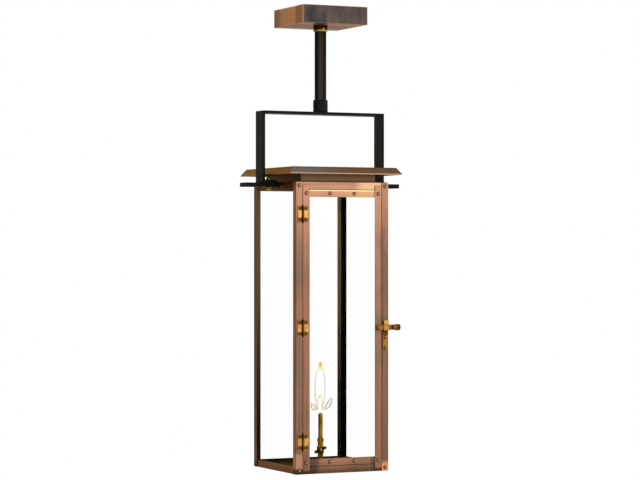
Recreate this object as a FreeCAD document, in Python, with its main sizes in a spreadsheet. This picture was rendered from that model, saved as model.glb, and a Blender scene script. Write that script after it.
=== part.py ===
import FreeCAD, Part
import math
import os
from types import SimpleNamespace

import Sketcher

# Hanging gas lantern with a square glazed case, a hipped roof and a flat-bar yoke on a ceiling stem.
# The origin is the middle of the ceiling plane, +Z is up, the door faces -Y and the yoke spans X.

SIZES = {
    # Ceiling parts
    "canopy_width": 158.8,
    "canopy_height": 40.5,
    "canopy_sheet": 1.2,
    "canopy_hole_gap": 0.4,
    "strap_length": 120.0,
    "strap_width": 41.3,
    "strap_sheet": 3.0,
    "strap_corner": 6.0,
    "strap_hole_pitch": 88.9,
    "strap_hole_diameter": 5.0,
    "locknut_flats": 38.1,
    "locknut_height": 8.0,
    "collar_diameter": 32.0,
    "collar_height": 12.0,
    "collar_screw_diameter": 4.0,
    "collar_screw_proud": 1.2,
    # Stem
    "stem_drop": 235.5,
    "stem_diameter": 26.7,
    "stem_bore": 20.9,
    "coupling_diameter": 33.4,
    "coupling_height": 28.0,
    "coupling_seat": 8.0,
    "coupling_bevel": 1.2,
    # Yoke and crossbar
    "yoke_clear": 8.55,
    "yoke_rise": 161.5,
    "yoke_sheet": 6.35,
    "yoke_toe": 12.6,
    "yoke_corner": 1.0,
    "bar_width": 38.1,
    "bar_sheet": 9.5,
    "bar_end": 39.0,
    "bar_gap": 0.5,
    "bolt_reach": 14.7,
    "bolt_diameter": 6.35,
    "bolt_flats": 11.1,
    "bolt_head": 4.4,
    "nut_height": 5.5,
    "bolt_tail": 2.0,
    # Roof, neck and deck
    "eave_overhang": 23.2,
    "roof_run": 10.0,
    "roof_rise": 16.1,
    "roof_sheet": 1.5,
    "eave_lift": 15.9,
    "hem_height": 2.4,
    "hem_width": 9.0,
    "neck_inset": 22.3,
    "neck_flange": 10.0,
    "vent_width": 30.0,
    "vent_depth": 9.0,
    "vent_pitch": 45.0,
    "deck_opening": 110.0,
    "deck_skirt": 13.0,
    "deck_screw_margin": 13.0,
    # Case
    "case_width": 228.6,
    "case_height": 647.0,
    "sheet": 1.6,
    "tray_sheet": 1.5,
    "post_leg": 15.9,
    "rail_height": 15.9,
    "pan_lift": 9.0,
    "pan_skirt_gap": 1.0,
    "air_hole_diameter": 9.0,
    "air_hole_ring": 96.0,
    "glass": 3.0,
    "glass_gap": 0.8,
    "clip_sheet": 1.0,
    "clip_width": 12.0,
    "clip_foot": 9.0,
    "clip_height": 5.0,
    "clip_offset": 60.0,
    "rail_screw_offset": 38.0,
    "rail_screw_drop": 8.5,
    "post_screw_end": 8.2,
    # Door
    "door_gap": 1.4,
    "door_proud": 0.3,
    "stop_lap": 1.0,
    "stop_seat": 4.6,
    "stop_rise": 2.9,
    "stop_hold": 2.5,
    "stile_width": 15.9,
    "stile_end": 6.5,
    "door_glass_edge": 3.0,
    "door_screw_offset": 30.0,
    "door_clip_half": 4.0,
    "door_clip_lip": 3.5,
    # Hinges
    "hinge_height": 38.1,
    "hinge_end": 71.5,
    "leaf_width": 13.0,
    "leaf_sheet": 1.2,
    "knuckle_diameter": 4.4,
    "knuckle_gap": 0.2,
    "pin_diameter": 2.2,
    "leaf_screw_inset": 6.6,
    "leaf_screw_end": 6.4,
    # Latch
    "latch_drop": 1.0,
    "latch_inset": 8.5,
    "latch_reach": 37.0,
    "latch_width": 12.0,
    "latch_sheet": 3.0,
    "latch_gap": 0.3,
    "latch_boss_diameter": 9.0,
    "latch_pivot_diameter": 4.0,
    "knob_diameter": 14.0,
    "knob_length": 13.4,
    "knob_neck_diameter": 9.0,
    "keeper_sheet": 1.6,
    "keeper_width": 12.0,
    "keeper_drop": 50.5,
    "keeper_tongue": 15.5,
    "keeper_screw_low": 45.5,
    "keeper_screw_high": 21.5,
    # Screws
    "screw_diameter": 3.5,
    "screw_head": 9.0,
    "screw_dome": 3.0,
    "leaf_screw_diameter": 2.6,
    "leaf_screw_head": 6.4,
    "leaf_screw_dome": 1.8,
    # Valve and burner
    "valve_bottom": 1.5,
    "valve_tail_diameter": 12.0,
    "valve_flange_diameter": 22.0,
    "valve_flange": 2.5,
    "valve_diameter": 13.0,
    "valve_bulge_diameter": 16.6,
    "valve_bulge": 14.0,
    "valve_top": 68.8,
    "valve_collar": 7.0,
    "valve_nut_flats": 19.0,
    "valve_nut_height": 5.0,
    "inlet_diameter": 6.0,
    "inlet_depth": 18.5,
    "gas_way_diameter": 4.0,
    "plug_height": 43.0,
    "plug_diameter": 8.0,
    "key_tilt": 24.7,
    "key_heading": 25.6,
    "key_span": 30.0,
    "key_width": 6.5,
    "key_hub_diameter": 12.0,
    "key_sheet": 3.0,
    "key_screw_head": 9.0,
    "key_screw_dome": 2.6,
    "burner_diameter": 10.3,
    "burner_bore": 6.5,
    "burner_seat": 8.0,
    "burner_top": 126.0,
    "burner_tip_radius": 4.4,
    "burner_jet_diameter": 1.6,
    # Running clearance round every shank, pin and spigot, on the radius
    "fit": 0.05,
}


class Size:
    """A size of the sheet, or a sum or share of such sizes, as a number and as the sheet's expression."""

    def __init__(self, value, text):
        self.value = value
        self.text = text

    def joined(self, sign, other, value):
        return Size(value, f"({self.text} {sign} {other.text})")

    def __add__(self, other):
        other = as_size(other)
        return self.joined("+", other, self.value + other.value)

    def __sub__(self, other):
        other = as_size(other)
        return self.joined("-", other, self.value - other.value)

    def __mul__(self, other):
        other = as_size(other)
        return self.joined("*", other, self.value * other.value)

    def __truediv__(self, other):
        other = as_size(other)
        return self.joined("/", other, self.value / other.value)

    def __rmul__(self, other):
        return as_size(other) * self

    def __neg__(self):
        return Size(-self.value, f"(0 - {self.text})")


def as_size(item):
    """Return a plain number as a Size, and a Size as it is."""
    return item if isinstance(item, Size) else Size(float(item), repr(float(item)))


ZERO = as_size(0)
SIGNS = (-1, 1)
HEX_SIDES = 6
AIR_HOLES = 8
KNUCKLES = 5
FULL_TURN = 360.0

# Turns of a piece's own frame. Each name says where the piece's own +Z goes.
X_AXIS = FreeCAD.Vector(1, 0, 0)
Y_AXIS = FreeCAD.Vector(0, 1, 0)
Z_AXIS = FreeCAD.Vector(0, 0, 1)
UP = FreeCAD.Rotation()
DOWN = FreeCAD.Rotation(X_AXIS, 180)
FRONT = FreeCAD.Rotation(X_AXIS, 90)
BACK = FreeCAD.Rotation(X_AXIS, -90)
LEFT = FreeCAD.Rotation(Y_AXIS, -90)
RIGHT = FreeCAD.Rotation(Y_AXIS, 90)
# A section drawn across the case, with its own X along Y and its own Y along Z, and drawn out along +X.
SIDE = FreeCAD.Rotation(FreeCAD.Vector(1, 1, 1), 120)
# A turned piece is drawn standing on its own Y, which these carry to +Z and to +X.
STANDING = FRONT
LYING = FreeCAD.Rotation(Z_AXIS, -90)

doc = FreeCAD.newDocument("yoke_lantern")
sheet = doc.addObject("Spreadsheet::Sheet", "sizes")
for row, (alias, number) in enumerate(SIZES.items(), start=1):
    sheet.set(f"A{row}", alias)
    sheet.set(f"B{row}", str(number))
    sheet.setAlias(f"B{row}", alias)
doc.recompute()
dim = SimpleNamespace(**{alias: Size(number, f"sizes.{alias}") for alias, number in SIZES.items()})
nodes = []


def node(piece, label):
    """Name a finished piece and keep it for writing."""
    piece.Label = label
    nodes.append(piece)
    return piece


def place(piece, x=ZERO, y=ZERO, z=ZERO, turn=UP):
    """Turn a piece and tie its place to the sheet."""
    piece.Placement = FreeCAD.Placement(FreeCAD.Vector(0, 0, 0), turn)
    for axis, size in zip("xyz", (x, y, z)):
        piece.setExpression(f"Placement.Base.{axis}", as_size(size).text)
    return piece


def tie_point(sketch, geometry, corner, x, y, name):
    """Tie one point of a sketch to the sheet, measured from the sketch's origin."""
    for kind, size, axis in (("DistanceX", as_size(x), -2), ("DistanceY", as_size(y), -1)):
        if size is ZERO:
            sketch.addConstraint(Sketcher.Constraint("PointOnObject", geometry, corner, axis))
            continue
        index = sketch.addConstraint(Sketcher.Constraint(kind, -1, 1, geometry, corner, size.value))
        label = f"{name}_{kind[-1].lower()}"
        sketch.renameConstraint(index, label)
        sketch.setExpression(f"Constraints.{label}", size.text)


def tie_radius(sketch, geometry, radius, name):
    """Tie the radius of an arc or a circle to the sheet."""
    index = sketch.addConstraint(Sketcher.Constraint("Radius", geometry, radius.value))
    sketch.renameConstraint(index, name)
    sketch.setExpression(f"Constraints.{name}", radius.text)


def arc_between(start, end, radius):
    """Return the short arc from start to end, to the left for a positive radius, and whether it runs back."""
    middle = (start + end) * 0.5
    along = end - start
    height = math.sqrt(max(radius * radius - along.Length * along.Length / 4, 0.0))
    left = FreeCAD.Vector(-along.y, along.x, 0).normalize()
    backwards = radius < 0
    centre = middle + left * (-height if backwards else height)
    first, last = (end, start) if backwards else (start, end)
    first_angle = math.atan2(first.y - centre.y, first.x - centre.x)
    last_angle = math.atan2(last.y - centre.y, last.x - centre.x)
    circle = Part.Circle(centre, Z_AXIS, abs(radius))
    return Part.ArcOfCircle(circle, first_angle, last_angle), backwards


def draw_outline(sketch, corners, name):
    """Draw a closed outline. A corner is (x, y), or (x, y, radius) where an arc leads to the next corner."""
    points = [FreeCAD.Vector(as_size(corner[0]).value, as_size(corner[1]).value, 0) for corner in corners]
    ends = []
    for index, corner in enumerate(corners):
        start = points[index]
        end = points[(index + 1) % len(points)]
        if len(corner) == 2:
            geometry = sketch.addGeometry(Part.LineSegment(start, end))
            ends.append((geometry, 1, 2))
            continue
        arc, backwards = arc_between(start, end, corner[2].value)
        geometry = sketch.addGeometry(arc)
        ends.append((geometry, 2, 1) if backwards else (geometry, 1, 2))
    for index, corner in enumerate(corners):
        geometry, start, end = ends[index]
        following, next_start, _ = ends[(index + 1) % len(ends)]
        sketch.addConstraint(Sketcher.Constraint("Coincident", geometry, end, following, next_start))
    for index, corner in enumerate(corners):
        geometry, start, _ = ends[index]
        tie_point(sketch, geometry, start, corner[0], corner[1], f"{name}{index}")
        if len(corner) == 3:
            radius = corner[2] if corner[2].value > 0 else -corner[2]
            tie_radius(sketch, geometry, radius, f"{name}{index}_radius")


def draw_circle(sketch, x, y, radius, name):
    """Draw a circle tied to the sheet."""
    centre = FreeCAD.Vector(as_size(x).value, as_size(y).value, 0)
    geometry = sketch.addGeometry(Part.Circle(centre, Z_AXIS, radius.value))
    tie_point(sketch, geometry, 3, x, y, name)
    tie_radius(sketch, geometry, radius, f"{name}_radius")


def new_body(name):
    """Return an empty body."""
    return doc.addObject("PartDesign::Body", name)


def new_sketch(body, outlines, circles=(), level=ZERO):
    """Draw outlines and circles on the body's own XY plane, lifted to a level."""
    plane = next(part for part in body.Origin.OriginFeatures if part.Role == "XY_Plane")
    sketch = body.newObject("Sketcher::SketchObject", f"{body.Name}_sketch")
    sketch.AttachmentSupport = [(plane, "")]
    sketch.MapMode = "FlatFace"
    sketch.setExpression("AttachmentOffset.Base.z", as_size(level).text)
    for index, corners in enumerate(outlines):
        draw_outline(sketch, corners, f"line{index}_")
    for index, circle in enumerate(circles):
        draw_circle(sketch, *circle, f"round{index}")
    return sketch


def pad(body, outlines, length, circles=(), level=ZERO):
    """Add a pad of the given outlines to a body."""
    feature = body.newObject("PartDesign::Pad", f"{body.Name}_pad")
    feature.Profile = new_sketch(body, outlines, circles, level)
    feature.setExpression("Length", length.text)
    return body


def plate(name, outline, length, circles=()):
    """Return a body padded from one outline with round holes."""
    return pad(new_body(name), [outline] if outline else [], length, circles)


def turned(name, corners):
    """Return a body turned about its own Y from corners given as radius and height."""
    body = new_body(name)
    sketch = new_sketch(body, [corners])
    feature = body.newObject("PartDesign::Revolution", f"{name}_turning")
    feature.Profile = sketch
    feature.ReferenceAxis = (sketch, ["V_Axis"])
    feature.Angle = FULL_TURN
    return body


def loft(body, kind, sections):
    """Add or cut a straight loft through square sections given as half width and level."""
    sketches = [new_sketch(body, [square(half)], level=level) for half, level in sections]
    feature = body.newObject(f"PartDesign::{kind}", f"{body.Name}_{kind}")
    feature.Profile = sketches[0]
    feature.Sections = sketches[1:]
    feature.Ruled = True
    return body


def rectangle(left, right, low, high):
    """Return the corners of a rectangle, anticlockwise."""
    return [(left, low), (right, low), (right, high), (left, high)]


def square(half):
    """Return the corners of a centred square."""
    return rectangle(-half, half, -half, half)


def hexagon(flats):
    """Return the corners of a hexagon of the given width across flats."""
    radius = flats / math.sqrt(3)
    angles = [math.tau * side / HEX_SIDES for side in range(HEX_SIDES)]
    return [(radius * math.cos(angle), radius * math.sin(angle)) for angle in angles]


def rounded(corners, radii):
    """Round the corners of a square-cornered outline, where a radius is given for a corner's index."""
    outline = []
    for index, (x, y) in enumerate(corners):
        if index not in radii:
            outline.append((x, y))
            continue
        before = corners[index - 1]
        after = corners[(index + 1) % len(corners)]
        step_in = [direction(here, there) for here, there in zip(before, (x, y))]
        step_out = [direction(here, there) for here, there in zip((x, y), after)]
        radius = radii[index]
        turn = step_in[0] * step_out[1] - step_in[1] * step_out[0]
        outline.append((x - radius * step_in[0], y - radius * step_in[1], radius * turn))
        outline.append((x + radius * step_out[0], y + radius * step_out[1]))
    return outline


def direction(start, end):
    """Return -1, 0 or 1 for the way from one coordinate to the next."""
    difference = as_size(end).value - as_size(start).value
    return 0 if abs(difference) < 1e-9 else int(math.copysign(1, difference))


def cylinder(radius, length, x=ZERO, y=ZERO, z=ZERO, turn=UP):
    """Return a cylinder with its first end at the given place."""
    piece = doc.addObject("Part::Cylinder", "round_tool")
    piece.setExpression("Radius", radius.text)
    piece.setExpression("Height", length.text)
    return place(piece, x, y, z, turn)


def block(low, high):
    """Return a box between two corners."""
    piece = doc.addObject("Part::Box", "block")
    for side, start, end in zip(("Length", "Width", "Height"), low, high):
        piece.setExpression(side, (as_size(end) - start).text)
    return place(piece, *low)


def fused(pieces, name="joined"):
    """Return several shapes as one."""
    if len(pieces) == 1:
        return pieces[0]
    piece = doc.addObject("Part::MultiFuse", name)
    piece.Shapes = pieces
    return piece


def cut(base, tools, name="cut_piece"):
    """Return a shape with the tools taken out of it."""
    piece = doc.addObject("Part::Cut", name)
    piece.Base = base
    piece.Tool = fused(tools, "tools")
    return piece


def copies(master, places):
    """Return a group of placed copies of one piece. A place is (x, y, z, turn)."""
    links = []
    for x, y, z, turn in places:
        link = doc.addObject("App::Link", f"{master.Name}_copy")
        link.LinkedObject = master
        links.append(place(link, x, y, z, turn))
    group = doc.addObject("Part::Compound", f"{master.Name}_group")
    group.Links = links
    return group


def screw(grip, shank, head, dome, name):
    """Return a pan-head screw that stands on its own Y, with its head's underside at the origin."""
    return turned(name, [
        (ZERO, -grip), (shank / 2, -grip), (shank / 2, ZERO), (head / 2, ZERO),
        (head / 2, dome / 2), (head / 4, dome), (ZERO, dome),
    ])


def case_screw(grip, name):
    """Return a screw of the size that holds the case together."""
    return screw(grip, dim.screw_diameter, dim.screw_head, dim.screw_dome, name)


def screw_turn(facing):
    """Return the turn that carries a screw's own Y to the way its head faces."""
    return facing.multiply(STANDING)


# Levels and planes of the case
yoke_top = -dim.stem_drop
case_top = yoke_top - dim.yoke_rise
case_base = case_top - dim.case_height
deck_top = case_top + dim.tray_sheet
eave = deck_top + dim.eave_lift
roof_under = eave + dim.roof_rise - dim.roof_sheet
bar_under = case_top - dim.bar_sheet
pan_under = case_base + dim.pan_lift
pan_top = pan_under + dim.tray_sheet
outer = dim.case_width / 2
rail_face = outer - dim.sheet
tray_face = rail_face - dim.sheet
pane_face = tray_face - dim.tray_sheet
pane_back = pane_face - dim.glass
pane_top = bar_under - dim.glass_gap
stem_radius = dim.stem_diameter / 2
stem_hole = stem_radius + dim.fit
screw_hole = dim.screw_diameter / 2 + dim.fit
leaf_screw_hole = dim.leaf_screw_diameter / 2 + dim.fit
bolt_hole = dim.bolt_diameter / 2 + dim.fit
half_bar = dim.bar_width / 2
half_eave = outer + dim.eave_overhang
half_neck = outer - dim.neck_inset
yoke_edge = half_eave + dim.yoke_clear + dim.yoke_sheet
bolt_offset = outer + dim.bolt_reach
deck_screw = dim.deck_opening / 2 + dim.deck_screw_margin

# Planes and levels of the door
door_face = -outer - dim.door_proud
door_half = outer - dim.post_leg - dim.door_gap
door_rail_face = door_face + dim.sheet
door_rail_back = door_rail_face + dim.sheet
low_rail = case_base + dim.rail_height + dim.door_gap
high_rail = case_top - dim.rail_height - dim.door_gap - dim.rail_height
low_screw = low_rail + dim.rail_height / 2
high_screw = high_rail + dim.rail_height / 2
stile_screw = door_half - dim.stile_width / 2

# Planes of the latch and the hinges
case_middle = case_base + dim.case_height / 2
latch_z = case_middle - dim.latch_drop
latch_x = door_half - dim.latch_inset
latch_back = -outer - dim.keeper_sheet - dim.latch_gap
latch_front = latch_back - dim.latch_sheet
keeper_x = outer - dim.post_leg / 2
hinge_x = -door_half - dim.door_gap / 2
hinge_y = door_face - dim.knuckle_gap - dim.knuckle_diameter / 2
hinge_levels = {
    "bottom": case_base + dim.hinge_end,
    "middle": case_middle,
    "top": case_top - dim.hinge_end,
}
post_leaf_screw = hinge_x - dim.leaf_screw_inset
door_leaf_screw = hinge_x + dim.leaf_screw_inset
leaf_screw_rise = dim.hinge_height / 2 - dim.leaf_screw_end

# Levels of the burner
plug_z = case_base + dim.plug_height


def front_holes(radius, length, back, places):
    """Return round tools that point to the front, each at (x, z)."""
    return [cylinder(radius, length, x, back, z, FRONT) for x, z in places]


def ceiling_parts():
    """Strap, lock nut, canopy and collar round the top of the stem."""
    half_strap = dim.strap_width / 2
    ends = rectangle(-dim.strap_length / 2, dim.strap_length / 2, -half_strap, half_strap)
    holes = [(sign * dim.strap_hole_pitch / 2, ZERO, dim.strap_hole_diameter / 2) for sign in SIGNS]
    outline = rounded(ends, {corner: dim.strap_corner for corner in range(4)})
    strap = plate("strap", outline, dim.strap_sheet, holes + [(ZERO, ZERO, stem_hole)])
    node(place(strap, z=-dim.strap_sheet), "mounting_strap")

    nut = plate("locknut", hexagon(dim.locknut_flats), dim.locknut_height, [(ZERO, ZERO, stem_hole)])
    node(place(nut, z=-dim.strap_sheet - dim.locknut_height), "strap_locknut")

    half = dim.canopy_width / 2
    floor_hole = (ZERO, ZERO, stem_radius + dim.canopy_hole_gap)
    canopy = plate("canopy_shell", square(half), dim.canopy_sheet, [floor_hole])
    pad(canopy, [square(half), square(half - dim.canopy_sheet)], dim.canopy_height)
    node(place(canopy, z=-dim.canopy_height), "canopy")

    radius = dim.collar_diameter / 2
    bore = stem_hole + dim.fit
    bead = (radius - bore) / 2
    ring = turned("collar_ring", [
        (bore, ZERO),
        (radius - bead, ZERO, bead),
        (radius, bead),
        (radius, dim.collar_height),
        (bore, dim.collar_height),
    ])
    collar_base = -dim.canopy_height - dim.collar_height
    place(ring, z=collar_base, turn=STANDING)
    middle = collar_base + dim.collar_height / 2
    thread = dim.collar_screw_diameter / 2
    screw_end = radius + dim.collar_screw_proud
    tapped = cylinder(thread + dim.fit, screw_end, ZERO, ZERO, middle, FRONT)
    node(cut(ring, [tapped]), "canopy_collar")
    node(cylinder(thread, screw_end - stem_radius, ZERO, -stem_radius, middle, FRONT), "collar_screw")


def stem_parts():
    """Pipe and its coupling on top of the yoke."""
    pipe_end = yoke_top + dim.coupling_seat
    pipe = plate("pipe", None, -pipe_end, [(ZERO, ZERO, stem_radius), (ZERO, ZERO, dim.stem_bore / 2)])
    node(place(pipe, z=pipe_end), "stem_pipe")
    radius = dim.coupling_diameter / 2
    bevel = dim.coupling_bevel
    coupling = turned("coupling", [
        (dim.stem_bore / 2, ZERO),
        (radius - bevel, ZERO),
        (radius, bevel),
        (radius, dim.coupling_height - bevel),
        (radius - bevel, dim.coupling_height),
        (stem_hole, dim.coupling_height),
        (stem_hole, dim.coupling_seat),
        (dim.stem_bore / 2, dim.coupling_seat),
    ])
    node(place(coupling, z=yoke_top, turn=STANDING), "stem_coupling")


def yoke_parts():
    """Bent yoke, crossbar and the bolts that join them."""
    edge = yoke_edge
    inner = edge - dim.yoke_sheet
    toe = bolt_offset - dim.yoke_toe
    sole = ZERO
    instep = dim.yoke_sheet
    crown = dim.yoke_rise
    under_crown = dim.yoke_rise - dim.yoke_sheet
    corners = [
        (-toe, sole), (-toe, instep), (-inner, instep), (-inner, under_crown),
        (inner, under_crown), (inner, instep), (toe, instep), (toe, sole),
        (edge, sole), (edge, crown), (-edge, crown), (-edge, sole),
    ]
    outline = rounded(corners, {corner: dim.yoke_corner for corner in (2, 3, 4, 5, 8, 9, 10, 11)})
    bent = place(plate("bent_bar", outline, dim.bar_width), y=half_bar, z=case_top, turn=FRONT)
    holes = [cylinder(bolt_hole, dim.yoke_sheet, sign * bolt_offset, ZERO, case_top) for sign in SIGNS]
    node(cut(bent, holes), "yoke")

    half = edge + dim.bar_end
    holes = [(sign * bolt_offset, ZERO, bolt_hole) for sign in SIGNS]
    holes += [(sign * deck_screw, ZERO, screw_hole) for sign in SIGNS]
    bar = plate("bar", rectangle(-half, half, -half_bar, half_bar), dim.bar_sheet, holes)
    node(place(bar, z=bar_under), "crossbar")

    shank = dim.yoke_sheet + dim.bar_sheet + dim.nut_height + dim.bolt_tail
    bolt = plate("bolt", hexagon(dim.bolt_flats), dim.bolt_head)
    pad(bolt, [], shank + dim.bolt_head, [(ZERO, ZERO, dim.bolt_diameter / 2)], -shank)
    instep_level = case_top + dim.yoke_sheet
    node(copies(bolt, [(sign * bolt_offset, ZERO, instep_level, UP) for sign in SIGNS]), "yoke_bolts")
    nut = plate("nut", hexagon(dim.bolt_flats), dim.nut_height, [(ZERO, ZERO, bolt_hole)])
    node(copies(nut, [(sign * bolt_offset, ZERO, bar_under, DOWN) for sign in SIGNS]), "yoke_nuts")

    fixing = case_screw(dim.bar_sheet + dim.tray_sheet, "deck_screw")
    turn = screw_turn(DOWN)
    node(copies(fixing, [(sign * deck_screw, ZERO, bar_under, turn) for sign in SIGNS]), "deck_screws")


def roof_parts():
    """Hipped roof, vented neck and the deck tray under it."""
    half_top = half_eave - dim.roof_run
    wall = dim.roof_sheet
    hip = new_body("hipped_roof")
    loft(hip, "AdditiveLoft", [(half_eave, ZERO), (half_eave, dim.hem_height), (half_top, dim.roof_rise)])
    hollow = half_eave - wall
    peak = (half_top - wall, dim.roof_rise - wall)
    loft(hip, "SubtractiveLoft", [(hollow, ZERO), (hollow, dim.hem_height), peak])
    pad(hip, [square(half_eave), square(half_eave - dim.hem_width)], dim.roof_sheet)
    node(place(hip, z=eave), "roof")

    half = half_neck
    height = dim.eave_lift + dim.roof_rise - dim.roof_sheet
    collar = pad(new_body("neck_wall"), [square(half), square(half - dim.tray_sheet)], height)
    pad(collar, [square(half), square(half - dim.neck_flange)], dim.tray_sheet)
    place(collar, z=deck_top)
    low = roof_under - dim.vent_depth
    vents = []
    for step in (-1, 0, 1):
        start = step * dim.vent_pitch - dim.vent_width / 2
        end = start + dim.vent_width
        vents.append(block((start, -half, low), (end, half, roof_under)))
        vents.append(block((-half, start, low), (half, end, roof_under)))
    node(cut(collar, vents), "neck")

    opening = (ZERO, ZERO, dim.deck_opening / 2)
    holes = [(sign * deck_screw, ZERO, screw_hole) for sign in SIGNS]
    tray = pad(new_body("deck_tray"), [square(tray_face)], dim.tray_sheet, [opening] + holes, dim.deck_skirt)
    pad(tray, [square(tray_face), square(pane_face)], dim.deck_skirt + dim.tray_sheet)
    place(tray, z=case_top - dim.deck_skirt)
    node(cut(tray, [bar_slot()] + rail_screw_holes()), "deck")


def bar_slot():
    """Tool for the slot that the crossbar passes through."""
    side = half_bar + dim.bar_gap
    return block((-outer, -side, bar_under - dim.bar_gap), (outer, side, case_top))


def rail_screw_places():
    """Places of the screws through the side and back top rails, with the ways out and in."""
    level = case_top - dim.rail_screw_drop
    places = []
    for sign in SIGNS:
        offset = sign * dim.rail_screw_offset
        places.append((-rail_face, offset, level, LEFT, RIGHT))
        places.append((rail_face, offset, level, RIGHT, LEFT))
        places.append((offset, rail_face, level, BACK, FRONT))
    return places


def rail_screw_holes():
    """Tools for the rail screws, drilled inwards from the rails' outer faces."""
    depth = dim.sheet + dim.tray_sheet
    return [cylinder(screw_hole, depth, x, y, z, inward) for x, y, z, outward, inward in rail_screw_places()]


def case_parts():
    """Corner posts, rails, floor pan, panes and their fixings."""
    leg = dim.post_leg
    wall = dim.sheet
    angle = [(ZERO, ZERO), (leg, ZERO), (leg, wall), (wall, wall), (wall, leg), (ZERO, leg)]
    post_levels = (case_base + dim.post_screw_end, case_top - dim.post_screw_end)
    screw_x = outer - leg / 2
    hinge_screws = [(post_leaf_screw, level + sign * leaf_screw_rise)
                    for level in hinge_levels.values() for sign in SIGNS]
    keeper_levels = (latch_z - dim.keeper_screw_low, latch_z - dim.keeper_screw_high)
    corners = {
        "post_front_left": (-outer, -outer, 0),
        "post_front_right": (outer, -outer, 90),
        "post_back_right": (outer, outer, 180),
        "post_back_left": (-outer, outer, 270),
    }
    for label, (x, y, turn) in corners.items():
        post = place(plate(f"{label}_angle", angle, dim.case_height), x, y, case_base,
                     FreeCAD.Rotation(Z_AXIS, turn))
        side = screw_x if x.value > 0 else -screw_x
        back = -rail_face if y.value < 0 else outer
        tools = front_holes(screw_hole, dim.sheet, back, [(side, level) for level in post_levels])
        if label == "post_front_left":
            tools += front_holes(leaf_screw_hole, dim.sheet, back, hinge_screws)
        if label == "post_front_right":
            tools += front_holes(screw_hole, dim.sheet, back, [(keeper_x, level) for level in keeper_levels])
        if y.value < 0:
            post = fused([post, door_stop(x)])
        node(cut(post, tools), label)

    rail_levels = {"top": case_top - dim.rail_height, "bottom": case_base}
    for place_name, level in rail_levels.items():
        screw_level = post_levels[1] if place_name == "top" else post_levels[0]
        for side, back in (("front", -tray_face), ("back", rail_face)):
            strip = rectangle(-rail_face, rail_face, ZERO, dim.rail_height)
            rail = place(plate(f"{place_name}_{side}", strip, dim.sheet), y=back, z=level, turn=FRONT)
            spots = [(sign * screw_x, screw_level) for sign in SIGNS]
            tools = front_holes(screw_hole, dim.sheet, back, spots)
            if side == "back" and place_name == "top":
                tools += rail_screw_holes()
            if side == "front":
                rail = fused([rail, rail_stop(place_name)])
            node(cut(rail, tools), f"{place_name}_rail_{side}")
        for side, start in (("left", -rail_face), ("right", tray_face)):
            strip = rectangle(-tray_face, tray_face, ZERO, dim.rail_height)
            rail = place(plate(f"{place_name}_{side}", strip, dim.sheet), x=start, z=level, turn=SIDE)
            if place_name == "top":
                rail = cut(rail, [bar_slot()] + rail_screw_holes())
            node(rail, f"{place_name}_rail_{side}")

    ring = dim.air_hole_ring / 2
    air_holes = []
    for step in range(AIR_HOLES):
        turn = math.tau * (step + 0.5) / AIR_HOLES
        air_holes.append((ring * math.cos(turn), ring * math.sin(turn), dim.air_hole_diameter / 2))
    burner_hole = (ZERO, ZERO, dim.valve_tail_diameter / 2 + dim.fit)
    skirt = dim.pan_lift - dim.pan_skirt_gap
    pan = pad(new_body("pan_tray"), [square(tray_face)], dim.tray_sheet, air_holes + [burner_hole], skirt)
    pad(pan, [square(tray_face), square(pane_face)], skirt + dim.tray_sheet)
    place(pan, z=case_base + dim.pan_skirt_gap)
    node(pan, "floor_pan")

    fixing = case_screw(dim.sheet + dim.sheet, "post_screw")
    places = [(sign * screw_x, y, level, screw_turn(facing))
              for sign in SIGNS for y, facing in ((-outer, FRONT), (outer, BACK)) for level in post_levels]
    node(copies(fixing, places), "post_screws")
    fixing = case_screw(dim.sheet + dim.tray_sheet, "rail_screw")
    places = [(x, y, z, screw_turn(outward)) for x, y, z, outward, inward in rail_screw_places()]
    node(copies(fixing, places), "rail_screws")

    pane_height = pane_top - pan_top
    side_pane = rectangle(-pane_face, pane_face, ZERO, pane_height)
    node(place(plate("left_pane", side_pane, dim.glass), x=-pane_face, z=pan_top, turn=SIDE), "glass_left")
    node(place(plate("right_pane", side_pane, dim.glass), x=pane_back, z=pan_top, turn=SIDE), "glass_right")
    back_pane = rectangle(-pane_back, pane_back, ZERO, pane_height)
    node(place(plate("back_pane", back_pane, dim.glass), y=pane_face, z=pan_top, turn=FRONT), "glass_back")
    node(glass_clips(), "glass_clips")


def door_stop(corner):
    """Strip behind a front post that closes the gap beside the door, for the post at the given corner."""
    near = door_half - dim.stop_lap
    far = outer - dim.post_leg + dim.stop_seat
    left, right = (near, far) if corner.value > 0 else (-far, -near)
    low = case_base + dim.rail_height
    return block((left, -rail_face, low), (right, -tray_face, case_top - dim.rail_height))


def rail_stop(end):
    """Strip behind the top or bottom front rail that closes the gap above or below the door."""
    half = door_half - dim.stop_lap - dim.stop_lap
    inner = -tray_face + dim.sheet
    low = case_base + dim.rail_height - dim.stop_hold
    high = case_base + dim.rail_height + dim.stop_rise
    if end == "top":
        low = case_top - dim.rail_height - dim.stop_rise
        high = case_top - dim.rail_height + dim.stop_hold
    return block((-half, -tray_face, low), (half, inner, high))


def glass_clips():
    """Bent tabs on the floor pan and under the deck that keep the panes against the case."""
    foot = dim.clip_foot
    wall = dim.clip_sheet
    top = dim.clip_height
    angle = [(ZERO, ZERO), (foot, ZERO), (foot, wall), (wall, wall), (wall, top), (ZERO, top)]
    tab = plate("tab", angle, dim.clip_width)
    places = []
    for inward in (0, 180, 270):
        about = FreeCAD.Rotation(Z_AXIS, inward)
        away = about.multVec(X_AXIS)
        for level, stance in ((pan_top, FRONT), (case_top, BACK)):
            turn = about.multiply(stance)
            along = turn.multVec(Z_AXIS)
            for sign in SIGNS:
                spot = []
                for depth, run in ((away.x, along.x), (away.y, along.y)):
                    shift = sign * abs(round(run)) * dim.clip_offset - round(run) * dim.clip_width / 2
                    spot.append(shift - round(depth) * pane_back)
                places.append((*spot, level, turn))
    return copies(tab, places)


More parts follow.
